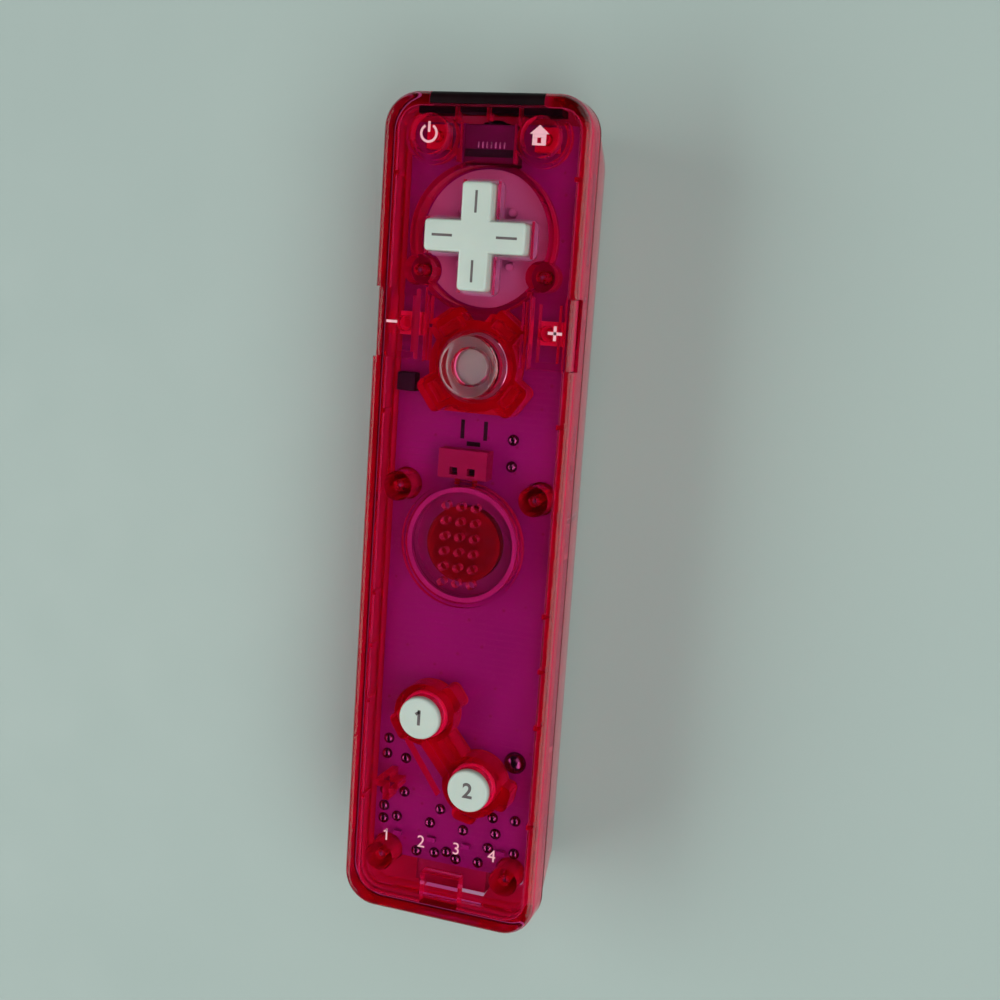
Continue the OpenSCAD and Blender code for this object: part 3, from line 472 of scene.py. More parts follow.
BLACK = Finish(
    "black_part", Slot.BLACK, tone=(0.008, 0.007, 0.008), drift=(0.016, 0.014, 0.015), rough=(0.5, 0.65),
    grain=2500.0, relief=0.2, shine=0.3,
)
CAMERA = Finish(
    "camera_case", Slot.DARK, tone=(0.13, 0.004, 0.075), drift=(0.11, 0.003, 0.06), rough=(0.45, 0.6),
    grain=2500.0, relief=0.2, shine=0.3,
)
MAGNET = Finish(
    "dark_magnet", Slot.BLACK, tone=(0.26, 0.003, 0.008), drift=(0.2, 0.002, 0.006), rough=(0.5, 0.6),
    grain=1500.0, relief=0.15, shine=0.1,
)
RED_PLASTIC = Finish(
    "red_moulding", Slot.RED_PLASTIC, tone=(0.34, 0.006, 0.09), drift=(0.3, 0.005, 0.08), rough=(0.4, 0.55),
    soft=0.2,
)
BRIGHT_RED = Finish(
    "bright_red_moulding", Slot.RED_PLASTIC, tone=(0.9, 0.02, 0.14), drift=(0.84, 0.016, 0.12),
    rough=(0.4, 0.55), soft=0.2,
)
RED_SILICONE = Finish(
    "red_silicone", Slot.RED_SILICONE, tone=(0.95, 0.12, 0.72), drift=(0.9, 0.1, 0.66), rough=(0.4, 0.55),
    grain=1200.0, relief=0.12, soft=0.3,
)
PALE_SILICONE = Finish(
    "pale_silicone", Slot.PALE_SILICONE, tone=(0.95, 0.9, 0.95), drift=(0.92, 0.86, 0.92),
    rough=(0.4, 0.55), grain=1200.0, relief=0.12, soft=0.05,
)
ROSE_SILICONE = Finish(
    "rose_silicone", Slot.RED_SILICONE, tone=(0.52, 0.38, 0.39), drift=(0.47, 0.35, 0.36),
    rough=(0.4, 0.55), grain=1200.0, relief=0.12, soft=0.3,
)
WIRE = Finish(
    "lead_wire", Slot.WIRE, tone=(0.4, 0.02, 0.03), drift=(0.33, 0.015, 0.025), rough=(0.35, 0.5),
    grain=1500.0, relief=0.1,
)
STEEL = BrushedFinish(
    "drawn_steel", Slot.STEEL, tone=(0.62, 0.62, 0.64), drift=(0.5, 0.5, 0.52), rough=(0.22, 0.4), metal=1.0
)
SOLDER = Finish(
    "bright_solder", Slot.STEEL, tone=(0.62, 0.6, 0.62), drift=(0.5, 0.48, 0.5), rough=(0.08, 0.16),
    grain=1800.0, relief=0.1, metal=1.0,
)
# Solder darkened well below bright metal: painted shade for the dark surroundings that the joints mirror
SHADED_SOLDER = Finish(
    "shaded_solder", Slot.STEEL, tone=(0.2, 0.13, 0.18), drift=(0.15, 0.1, 0.14), rough=(0.1, 0.2),
    grain=1800.0, relief=0.1, metal=1.0,
)
BRASS = BrushedFinish(
    "drawn_brass", Slot.BRASS, tone=(0.78, 0.55, 0.22), drift=(0.68, 0.46, 0.17), rough=(0.2, 0.38),
    metal=1.0,
)


def deselect() -> None:
    """Leave nothing selected."""
    bpy.ops.object.select_all(action="DESELECT")


def activate(piece: bpy.types.Object) -> None:
    """Make a piece the only selected and active one."""
    deselect()
    piece.select_set(True)
    bpy.context.view_layer.objects.active = piece


@contextmanager
def editing(piece: bpy.types.Object) -> Iterator[None]:
    """Hold a piece in edit mode."""
    activate(piece)
    bpy.ops.object.mode_set(mode="EDIT")
    yield
    bpy.ops.object.mode_set(mode="OBJECT")


def pick_faces(piece: bpy.types.Object, test: Callable[[Vector, Vector], bool]) -> None:
    """Select faces in edit mode.

    Args:
        piece: The piece in edit mode.
        test: Tells from a face's middle and normal if it is wanted.
    """
    bpy.ops.mesh.select_mode(type="FACE")
    bpy.ops.mesh.select_all(action="DESELECT")
    mesh = bmesh.from_edit_mesh(piece.data)
    for face in mesh.faces:
        face.select_set(test(face.calc_center_median(), face.normal))
    bmesh.update_edit_mesh(piece.data)


def pick_edges(piece: bpy.types.Object, test: Callable[[Vector, Vector], bool]) -> None:
    """Select edges in edit mode.

    Args:
        piece: The piece in edit mode.
        test: Tells from an edge's two ends if it is wanted.
    """
    bpy.ops.mesh.select_mode(type="EDGE")
    bpy.ops.mesh.select_all(action="DESELECT")
    mesh = bmesh.from_edit_mesh(piece.data)
    for edge in mesh.edges:
        edge.select_set(test(edge.verts[0].co, edge.verts[1].co))
    bmesh.update_edit_mesh(piece.data)


def upright(a: Vector, b: Vector) -> bool:
    """Tell if an edge with these two ends stands upright."""
    return (a - b).xy.length < TOUCH


def is_wall(normal: Vector) -> bool:
    """Tell by its normal if a face is a side wall."""
    return abs(normal.z) < WALL_TILT


def select_all() -> None:
    """Select the whole mesh in edit mode."""
    bpy.ops.mesh.select_all(action="SELECT")


def mend_normals() -> None:
    """Turn all the normals of the mesh in edit mode outwards."""
    select_all()
    bpy.ops.mesh.normals_make_consistent(inside=False)


def merge_flats() -> None:
    """Merge the triangles in one plane, of the mesh in edit mode, into whole faces."""
    select_all()
    bpy.ops.mesh.dissolve_limited(angle_limit=FLAT_ANGLE)


def apply_place(piece: bpy.types.Object) -> None:
    """Move a piece's place, turn and scale into its mesh."""
    activate(piece)
    bpy.ops.object.transform_apply(location=True, rotation=True, scale=True)


def place(piece: bpy.types.Object, at: Point, turn: Point = ORIGIN) -> None:
    """Turn a piece about its origin and move it, and keep both in its mesh.

    Args:
        piece: The piece.
        at: Where its origin goes, in millimetres.
        turn: Its turn about x, y and z, in radians.
    """
    piece.rotation_euler = turn
    piece.location = Vector(at) * MM
    apply_place(piece)


def thicken(piece: bpy.types.Object, depth: float) -> None:
    """Draw a flat piece up by a depth.

    Args:
        piece: The piece.
        depth: How far it is drawn up, in millimetres.
    """
    with editing(piece):
        select_all()
        bpy.ops.mesh.extrude_region_move(TRANSFORM_OT_translate={"value": (0.0, 0.0, depth * MM)})
        mend_normals()


def smooth(piece: bpy.types.Object, angle: float = SMOOTH_ANGLE) -> bpy.types.Object:
    """Shade a piece smooth up to an angle in degrees."""
    activate(piece)
    bpy.ops.object.shade_smooth_by_angle(angle=math.radians(angle))
    return piece


def join(pieces: Sequence[bpy.types.Object], name: str) -> bpy.types.Object:
    """Join pieces into one object.

    Args:
        pieces: The pieces to join.
        name: Name of the result.

    Returns:
        The joined piece.
    """
    activate(pieces[0])
    for piece in pieces[1:]:
        piece.select_set(True)
    if len(pieces) > 1:
        bpy.ops.object.join()
    pieces[0].name = name
    return pieces[0]


def copies(piece: bpy.types.Object, shifts: Sequence[Point], name: str) -> bpy.types.Object:
    """Repeat a piece, each copy with its own mesh, and join the copies.

    Args:
        piece: The piece to repeat, which is used up.
        shifts: Where each copy goes, in millimetres from the piece.
        name: Name of the joined result.

    Returns:
        The joined copies.
    """
    made = []
    for shift in shifts:
        twin = piece.copy()
        twin.data = piece.data.copy()
        twin.data.transform(Matrix.Translation(Vector(shift) * MM))
        bpy.context.scene.collection.objects.link(twin)
        made.append(twin)
    bpy.data.objects.remove(piece)
    return join(made, name)


def arc(radius: float, angles: Iterable[float]) -> list[tuple[float, float]]:
    """Find the points of an arc about the origin, by their angles in degrees."""
    turns = [math.radians(angle) for angle in angles]
    return [(radius * math.cos(turn), radius * math.sin(turn)) for turn in turns]


def turned(
    name: str, profile: Profile, at: Point = ORIGIN, lie: Lie = Lie.UP, segments: int = 48
) -> bpy.types.Object:
    """Turn a piece from a disc that is drawn up and scaled point by point.

    Args:
        name: Name of the piece.
        profile: Radius and height of each point, in millimetres, from the first disc to the last.
        at: Place of the profile's origin, in millimetres.
        lie: Way that the axis points.
        segments: Sides of the circle.

    Returns:
        The turned piece.
    """
    radius, height = profile[0]
    deselect()
    bpy.ops.mesh.primitive_circle_add(
        vertices=segments, radius=radius * MM, fill_type="NGON", location=(0.0, 0.0, height * MM)
    )
    piece = bpy.context.active_object
    piece.name = name
    apply_place(piece)
    with editing(piece):
        select_all()
        for next_radius, next_height in profile[1:]:
            rise = (0.0, 0.0, (next_height - height) * MM)
            bpy.ops.mesh.extrude_region_move(TRANSFORM_OT_translate={"value": rise})
            share = next_radius / radius
            middle = (0.0, 0.0, next_height * MM)
            bpy.ops.transform.resize(value=(share, share, 1.0), center_override=middle)
            radius, height = next_radius, next_height
        mend_normals()
    place(piece, at, lie.value)
    return smooth(piece)


def cube(name: str, low: Point, high: Point) -> bpy.types.Object:
    """Cut a sharp block.

    Args:
        name: Name of the piece.
        low: Lowest corner in millimetres.
        high: Highest corner in millimetres.

    Returns:
        The block.
    """
    deselect()
    bpy.ops.mesh.primitive_cube_add(size=1.0)
    piece = bpy.context.active_object
    piece.name = name
    piece.scale = (Vector(high) - Vector(low)) * MM
    piece.location = (Vector(high) + Vector(low)) * MM / 2
    apply_place(piece)
    return piece


def block(name: str, low: Point, high: Point, edge: float = 0.12) -> bpy.types.Object:
    """Cut a block with eased edges.

    Args:
        name: Name of the piece.
        low: Lowest corner in millimetres.
        high: Highest corner in millimetres.
        edge: Width of the eased edges in millimetres.

    Returns:
        The block.
    """
    piece = cube(name, low, high)
    with editing(piece):
        select_all()
        bpy.ops.mesh.bevel(offset=edge * MM, segments=2, affect="EDGES")
    return smooth(piece, 50.0)


def cut_away(piece: bpy.types.Object, tool: bpy.types.Object) -> bpy.types.Object:
    """Cut a tool's shape out of a piece and use the tool up."""
    cut = piece.modifiers.new("cut", "BOOLEAN")
    cut.operation = "DIFFERENCE"
    cut.solver = "EXACT"
    cut.object = tool
    activate(piece)
    bpy.ops.object.modifier_apply(modifier=cut.name)
    bpy.data.objects.remove(tool)
    return piece


def print_digit(name: str, digit: str, height: float, at: Point, weight: float = 0.0) -> bpy.types.Object:
    """Set a digit flat on a surface, with a flag on the one.

    Args:
        name: Name of the piece.
        digit: The digit to set.
        height: Height of the type in millimetres.
        at: Middle of the digit on its surface, in millimetres.
        weight: Added stroke weight in millimetres.

    Returns:
        The digit as a thin mesh.
    """
    deselect()
    bpy.ops.object.text_add()
    piece = bpy.context.active_object
    piece.name = name
    piece.data.body = digit
    piece.data.size = height * MM
    piece.data.align_x = "CENTER"
    piece.data.align_y = "CENTER"
    piece.data.extrude = INK_HALF * MM
    piece.data.offset = weight * MM
    bpy.ops.object.convert(target="MESH")
    piece = bpy.context.active_object
    place(piece, at)
    if digit != "1":
        return piece
    long = FLAG_LONG * height
    thick = FLAG_THICK * height + 2 * weight
    flag = block("flag", (-long, -thick / 2, -INK_HALF), (0.0, thick / 2, INK_HALF), edge=0.002)
    place(flag, (at[0] + FLAG_AT[0] * height, at[1] + FLAG_AT[1] * height, at[2]), (0.0, 0.0, FLAG_TURN))
    return join([piece, flag], name)


@dataclass
class Frame:
    """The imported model, and the ways in which a piece joins it."""

    nodes: dict[str, bpy.types.Object]

    def body_of(self, node: str) -> str:
        """Name the body that a node rides on."""
        return self.nodes[node]["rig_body"]

    def twin(self, node: str, name: str, angle: float = 25.0) -> bpy.types.Object:
        """Copy a node's mesh, merge its loose triangles and shade it smooth.

        Args:
            node: Name of the node.
            name: Name of the copy.
            angle: Largest angle in degrees that is shaded smooth.

        Returns:
            The copy, free of the node's own marks.
        """
        source = self.nodes[node]
        piece = source.copy()
        piece.data = source.data.copy()
        piece.parent = None
        piece.name = name
        for key in list(piece.keys()):
            del piece[key]
        bpy.context.scene.collection.objects.link(piece)
        with editing(piece):
            select_all()
            bpy.ops.mesh.remove_doubles(threshold=0.001 * MM)
        bpy.ops.mesh.customdata_custom_splitnormals_clear()
        return smooth(piece, angle)

    def eased(self, node: str, name: str, edge: float) -> bpy.types.Object:
        """Copy a node and ease its hard edges.

        Args:
            node: Name of the node.
            name: Name of the copy.
            edge: Width of the eased edges in millimetres.

        Returns:
            The eased copy.
        """
        piece = self.twin(node, name)
        with editing(piece):
            merge_flats()
        ease = piece.modifiers.new("ease", "BEVEL")
        ease.width = edge * MM
        ease.segments = 2
        ease.limit_method = "ANGLE"
        ease.angle_limit = math.radians(40.0)
        activate(piece)
        bpy.ops.object.modifier_apply(modifier=ease.name)
        return smooth(piece)

    def fit(self, piece: bpy.types.Object, finish: Finish, body: str, *replaced: str) -> None:
        """Finish a piece and set it on its body.

        Args:
            piece: The piece.
            finish: Its finish.
            body: The body that it rides on.
            replaced: Nodes that it stands for.
        """
        piece.data.materials.clear()
        piece.data.materials.append(finish.material())
        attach(piece, body)
        if replaced:
            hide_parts(*replaced)
        LOG.info("%s rides on %s with %s", piece.name, body, finish.name)

    def stand_in(self, node: str, piece: bpy.types.Object, finish: Finish) -> None:
        """Let a piece take a node's place on the node's own body."""
        self.fit(piece, finish, self.body_of(node), node)

    def dress(self, node: str, name: str, finish: Finish, edge: float = 0.0) -> None:
        """Set a finished copy in a node's place.

        Args:
            node: Name of the node.
            name: Name of the copy.
            finish: The copy's finish.
            edge: Width of its eased edges in millimetres, or 0 to leave them sharp.
        """
        piece = self.eased(node, name, edge) if edge else self.twin(node, name)
        self.stand_in(node, piece, finish)


@dataclass
class Shell:
    """The clear moulded shell: two halves, the trigger, the battery door and the clear keys."""

    nodes: tuple[str, ...] = (
        "front_shell", "rear_shell", "b_trigger", "battery_door",
        "power_button", "home_button", "minus_button", "plus_button",
    )
    width: float = 36.0
    length: float = 143.2
    corner: float = 6.0
    seam: Span = (18.98, 19.5)
    seam_proud: float = 0.02
    seam_depth: float = 0.1
    overcut: float = 1.0

    def build(self, frame: Frame) -> None:
        """Set a smooth polished copy in place of each clear node, and draw a dark band along the seam as a
        painted shadow line.
        """
        for node in self.nodes:
            frame.dress(node, f"{node}_clear", SHELL)
        frame.fit(self.seam_shadow_band(), SEAM_SHADOW, "body")

    def seam_shadow_band(self) -> bpy.types.Object:
        """Draw a thin dark band between the two halves, a painted shadow line where they meet, left open at
        the window.

        Returns:
            The band.
        """
        low, high = self.seam
        under, over = low - self.overcut, high + self.overcut
        band = self.slab("seam_shadow_band", self.seam_proud, low, high)
        cut_away(band, self.slab("core", -self.seam_depth, under, over))
        left, right = (corner[0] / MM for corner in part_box("ir_window"))
        end = self.length / 2
        opening = block("opening", (left, end - self.corner, under), (right, end + self.overcut, over))
        return smooth(cut_away(band, opening))

    def slab(self, name: str, grow: float, low: float, high: float) -> bpy.types.Object:
        """Cut a slab with the rounded outline of the body.

        Args:
            name: Name of the piece.
            grow: How far it stands out from the body's outline, in millimetres.
            low: Height of its underside.
            high: Height of its top.

        Returns:
            The slab.
        """
        half_x = self.width / 2 + grow
        half_y = self.length / 2 + grow
        piece = cube(name, (-half_x, -half_y, low), (half_x, half_y, high))
        with editing(piece):
            pick_edges(piece, upright)
            bpy.ops.mesh.bevel(offset=(self.corner + grow) * MM, segments=16, affect="EDGES")
        return piece


@dataclass
class Window:
    """The dark infrared window with its camera and the camera's row of pins."""

    pin_y: float = 63.5
    pin_x: float = 0.3
    pin_pitch: float = 0.75
    pins: int = 7
    pin_half: Span = (0.12, 0.5)
    pin_proud: float = 0.15
    strip_y: Span = (61.55, 62.85)
    strip_side: float = 0.3
    strip_proud: float = 0.05
    sunk: float = 0.1

    def build(self, frame: Frame) -> None:
        """Dress the window, the camera and the lens, and set the pins and the strip."""
        frame.dress("ir_window", "window_dark", DARK)
        frame.dress("ir_camera", "camera_block", CAMERA, edge=0.25)
        frame.dress("camera_lens", "camera_glass", DARK)
        self.set_pins(frame)
        self.set_strip(frame)

    def set_strip(self, frame: Frame) -> None:
        """Lay a dark strip across the camera beside its pins."""
        low, high = (Vector(corner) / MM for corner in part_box("ir_camera"))
        near, far = self.strip_y
        left = (low.x + self.strip_side, near, high.z - self.sunk)
        right = (high.x - self.strip_side, far, high.z + self.strip_proud)
        frame.fit(block("camera_strip", left, right, edge=0.04), BLACK, "body")

    def set_pins(self, frame: Frame) -> None:
        """Set a row of short pins on top of the camera."""
        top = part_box("ir_camera")[1][2] / MM
        half_x, half_y = self.pin_half
        foot = (-half_x, -half_y, top - self.sunk)
        pin = block("camera_pins", foot, (half_x, half_y, top + self.pin_proud), edge=0.05)
        first = self.pin_x - self.pin_pitch * (self.pins - 1) / 2
        shifts = [(first + self.pin_pitch * i, self.pin_y, 0.0) for i in range(self.pins)]
        frame.fit(copies(pin, shifts, "camera_pins"), SOLDER, "body")


@dataclass
class DirectionCross:
    """The white direction cross on its ball, with a tick on each arm."""

    y: float = CROSS_Y
    span: float = 17.6
    arm: float = 5.2
    top: float = 26.8
    low: float = 21.4
    flange_top: float = 22.2
    lip: float = 0.75
    corner: float = 0.7
    edge: float = 0.45
    ball_z: float = 20.7
    ball_r: float = 1.5
    ball_play: float = 0.08
    hub_r: float = 2.6
    hub_edge: float = 0.3
    tick: Span = (3.8, 7.4)
    tick_half: float = 0.22
    tick_z: Span = (-0.05, 0.02)

    def build(self, frame: Frame) -> None:
        """Model the cap with its hub, the ball and the ticks."""
        cap = join([self.cap(), self.hub()], "cross_cap")
        frame.stand_in("dpad", cap, WHITE)
        frame.stand_in("dpad_pivot", self.ball(), STEEL)
        frame.fit(self.ticks(), INK_GREY, "dpad")

    def cap(self) -> bpy.types.Object:
        """Draw four arms out of a block, round them, and draw a flange out of their foot.

        Returns:
            The cap.
        """
        half = self.arm / 2
        piece = cube("cross_cap", (-half, self.y - half, self.low), (half, self.y + half, self.top))
        middle = Vector((0.0, self.y, 0.0))
        with editing(piece):
            for x, y in ((1, 0), (-1, 0), (0, 1), (0, -1)):
                way = Vector((x, y, 0))
                root = (middle + way * half) * MM
                pick_faces(piece, lambda at, normal: (at - root).xy.length < TOUCH and is_wall(normal))
                reach = way * (self.span - self.arm) / 2 * MM
                bpy.ops.mesh.extrude_region_move(TRANSFORM_OT_translate={"value": reach})
            pick_edges(piece, lambda a, b: upright(a, b) and self.at_tip(a))
            bpy.ops.mesh.bevel(offset=self.corner * MM, segments=4, affect="EDGES")
            pick_edges(piece, self.on_rim)
            bpy.ops.mesh.bevel(offset=self.edge * MM, segments=3, affect="EDGES")
            select_all()
            bpy.ops.mesh.bisect(plane_co=(0.0, 0.0, self.flange_top * MM), plane_no=(0.0, 0.0, 1.0))
            pick_faces(piece, lambda at, normal: at.z < self.flange_top * MM and is_wall(normal))
            bpy.ops.mesh.extrude_region_shrink_fatten(
                TRANSFORM_OT_shrink_fatten={"value": self.lip * MM, "use_even_offset": True}
            )
            mend_normals()
        return smooth(piece)

    def reach(self, point: Vector) -> float:
        """Measure how far out along its arm a point lies, in metres."""
        return max(abs(point.x), abs(point.y - self.y * MM))

    def at_tip(self, point: Vector) -> bool:
        """Tell if a point is at the tip of an arm."""
        return self.reach(point) > self.span / 2 * MM - TOUCH

    def on_rim(self, a: Vector, b: Vector) -> bool:
        """Tell if an edge lies on the rim of the top, not across an arm's root."""
        on_top = min(a.z, b.z) > self.top * MM - TOUCH
        return on_top and max(self.reach(a), self.reach(b)) > self.arm / 2 * MM + TOUCH

    def hub(self) -> bpy.types.Object:
        """Turn the hub with its socket for the ball.

        Returns:
            The hub.
        """
        socket = arc(self.ball_r + self.ball_play, (72, 50, 25, 0, -18))
        low = socket[-1][1]
        ease = self.hub_edge
        roof = self.low + ease - self.ball_z
        profile = [*socket, (self.hub_r - ease, low), (self.hub_r, low + ease), (self.hub_r, roof)]
        return turned("cross_hub", profile, (0.0, self.y, self.ball_z))

    def ball(self) -> bpy.types.Object:
        """Turn the ball."""
        return turned("cross_ball", arc(self.ball_r, range(-75, 90, 15)), (0.0, self.y, self.ball_z))

    def ticks(self) -> bpy.types.Object:
        """Set a dark tick along each arm.

        Returns:
            The four ticks as one piece.
        """
        half = self.tick_half
        low, high = (self.top + shift for shift in self.tick_z)
        marks = []
        for sign in (-1, 1):
            near, far = sorted(sign * end for end in self.tick)
            marks.append(block("tick", (near, self.y - half, low), (far, self.y + half, high), edge=0.03))
            marks.append(block("tick", (-half, self.y + near, low), (half, self.y + far, high), edge=0.03))
        return join(marks, "cross_ticks")


@dataclass
class RoundKeys:
    """The large clear key and the two white numbered keys."""

    large_at: Spot = LARGE_KEY
    large_r: float = 5.2
    large_flange_r: float = 5.9
    large_hollow_r: float = 3.4
    large_hollow_tall: float = 2.0
    number_r: float = 3.75
    number_flange_r: float = 4.25
    numbers: tuple[tuple[str, str, Spot], ...] = (
        ("one_button", "1", ONE_KEY),
        ("two_button", "2", TWO_KEY),
    )
    flange_low: float = 21.9
    flange_top: float = 22.9
    skirt_top: float = 24.6
    skirt_lap: float = 0.2
    top: float = 25.9
    mark_height: float = 3.8
    mark_weight: float = 0.09
    mark_sunk: float = 0.07

    def build(self, frame: Frame) -> None:
        """Turn the three keys and set the two numbers."""
        frame.stand_in("a_button", self.large_key(), CLEAR)
        for node, mark, at in self.numbers:
            frame.stand_in(node, self.number_key(node, at), WHITE)
            frame.fit(self.skirt(node, at), BRIGHT_RED, frame.body_of(node))
            spot = (*at, self.top - self.mark_sunk)
            ink = print_digit(f"{node}_mark", mark, self.mark_height, spot, self.mark_weight)
            frame.fit(ink, INK_GREY, frame.body_of(node))

    def large_key(self) -> bpy.types.Object:
        """Turn the clear key, hollow from below, with a rolled rim.

        Returns:
            The key.
        """
        low, high, top = self.flange_low, self.flange_top, self.top
        bore, flange, rim = self.large_hollow_r, self.large_flange_r, self.large_r
        roof = low + self.large_hollow_tall
        profile = [
            (bore - 0.4, roof), (bore, roof - 0.3), (bore, low), (flange, low), (flange, high), (rim, high),
            (rim, top - 0.6), (rim - 0.1, top - 0.28), (rim - 0.35, top - 0.08), (rim - 0.7, top),
            (rim - 1.3, top - 0.04),
        ]
        return turned("large_key_clear", profile, (*self.large_at, 0.0), segments=72)

    def number_key(self, name: str, at: Spot) -> bpy.types.Object:
        """Turn a white key with a rolled rim and a shallow dish.

        Args:
            name: Name for the piece.
            at: Middle of the key in millimetres.

        Returns:
            The key.
        """
        rim, top = self.number_r, self.top
        profile = [
            (rim, self.skirt_top - self.skirt_lap), (rim, top - 0.42), (rim - 0.08, top - 0.18),
            (rim - 0.26, top - 0.04), (rim - 0.45, top), (rim - 0.9, top - 0.06), (rim - 1.3, top - 0.08),
        ]
        return turned(f"{name}_cap", profile, (*at, 0.0), segments=64)

    def skirt(self, name: str, at: Spot) -> bpy.types.Object:
        """Turn the red skirt with the flange that holds a numbered key under the shell.

        Args:
            name: Name of the key.
            at: Middle of the key in millimetres.

        Returns:
            The skirt.
        """
        rim, flange = self.number_r, self.number_flange_r
        low, high, top = self.flange_low, self.flange_top, self.skirt_top
        profile = [
            (flange - 0.1, low), (flange, low + 0.1), (flange, high - 0.1), (flange - 0.1, high),
            (rim + 0.01, high), (rim + 0.01, top), (rim - 0.4, top),
        ]
        return turned(f"{name}_skirt", profile, (*at, 0.0), segments=64)


@dataclass
class Membranes:
    """The silicone sheets under the keys, with their domes and pegs."""

    board_top: float = BOARD_TOP
    cross_y: float = CROSS_Y
    cross_thick: float = 0.8
    cross_dome_at: float = 6.3
    cross_dome_low: float = 0.75
    cross_dome_top: float = 21.2
    cross_dome_radii: Span = (1.6, 2.5)
    key_thick: float = 0.6
    key_dome_low: float = 0.55
    key_dome_top: float = 21.7
    key_domes: tuple[tuple[str, Spot, Span, str, Finish], ...] = (
        ("large_key_dome", LARGE_KEY, (3.2, 5.7), "a_press", ROSE_SILICONE),
        ("one_key_dome", ONE_KEY, (2.4, 3.2), "one_press", RED_SILICONE),
        ("two_key_dome", TWO_KEY, (2.4, 3.2), "two_press", RED_SILICONE),
    )
    peg_at: float = 4.4
    skim: float = 0.02
    trigger_at: Spot = (0.0, 22.0)
    trigger_dome_radii: Span = (1.6, 2.6)

    def build(self, frame: Frame) -> None:
        """Lay the three sheets and stand their domes on them."""
        self.cross_sheet(frame)
        for node in ("a_membrane", "number_membrane"):
            frame.stand_in(node, self.sheet(frame, node, self.key_thick), RED_SILICONE)
        for name, at, radii, joint, finish in self.key_domes:
            self.key_dome(frame, name, at, radii, finish)
        self.trigger_dome(frame)

    def sheet(self, frame: Frame, node: str, thick: float) -> bpy.types.Object:
        """Cut a node's sheet off below its domes.

        Args:
            frame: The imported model.
            node: Name of the membrane's node.
            thick: Thickness of the sheet in millimetres.

        Returns:
            The sheet.
        """
        piece = frame.twin(node, f"{node}_sheet")
        level = (self.board_top + thick - self.skim) * MM
        with editing(piece):
            select_all()
            bpy.ops.mesh.bisect(
                plane_co=(0.0, 0.0, level), plane_no=(0.0, 0.0, 1.0), use_fill=True, clear_outer=True
            )
            merge_flats()
            mend_normals()
        return smooth(piece)

    def cross_sheet(self, frame: Frame) -> None:
        """Lay the pale sheet under the cross with four domes and four pegs."""
        sheet = self.sheet(frame, "dpad_membrane", self.cross_thick)
        low = self.board_top + self.cross_dome_low
        profile = [(0.7, low), (0.7, low + 1.1), (0.5, low + 1.35), (0.2, low + 1.42)]
        side = self.peg_at
        corners = [(x, self.cross_y + y, 0.0) for x in (-side, side) for y in (-side, side)]
        pegs = copies(turned("peg", profile, segments=24), corners, "pegs")
        frame.stand_in("dpad_membrane", join([sheet, pegs], "cross_sheet"), PALE_SILICONE)
        reach = self.cross_dome_at
        for index, (x, y) in enumerate(((0, 1), (0, -1), (1, 0), (-1, 0))):
            dome = self.dome(f"cross_dome_{index}", low, self.cross_dome_top, self.cross_dome_radii)
            place(dome, (x * reach, self.cross_y + y * reach, 0.0))
            frame.fit(dome, PALE_SILICONE, "body")
            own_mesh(dome)

    def dome(self, name: str, low: float, top: float, radii: Span) -> bpy.types.Object:
        """Turn a key dome: a sloped web that carries a plump crown.

        Args:
            name: Name of the piece.
            low: Height of its foot.
            top: Height of its crown.
            radii: Radius of the crown and of the foot.

        Returns:
            The dome, about the origin.
        """
        crown, foot = radii
        tall = top - low
        profile = [
            (foot, low), (foot - 0.1, low + 0.15 * tall),
            (crown + 0.25, low + 0.5 * tall), (crown + 0.05, low + 0.62 * tall),
            (crown, low + 0.85 * tall), (crown - 0.12, low + 0.96 * tall),
            (crown - 0.4, top), (crown * 0.4, top),
        ]
        return turned(name, profile, segments=40)

    def key_dome(self, frame: Frame, name: str, at: Spot, radii: Span, finish: Finish) -> None:
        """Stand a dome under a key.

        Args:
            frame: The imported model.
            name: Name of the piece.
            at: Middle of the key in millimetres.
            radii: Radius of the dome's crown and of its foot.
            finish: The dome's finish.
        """
        low = self.board_top + self.key_dome_low
        dome = self.dome(name, low, self.key_dome_top, radii)
        place(dome, (*at, 0.0))
        frame.fit(dome, finish, "body")
        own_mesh(dome)

    def trigger_dome(self, frame: Frame) -> None:
        """Hang the trigger's dome under the board."""
        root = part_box("trigger_dome")[1][2] / MM
        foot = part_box("trigger_dome")[0][2] / MM
        dome = self.dome("trigger_dome_soft", 0.0, root - foot, self.trigger_dome_radii)
        place(dome, (*self.trigger_at, root), Lie.DOWN.value)
        frame.stand_in("trigger_dome", dome, RED_SILICONE)
        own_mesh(dome)


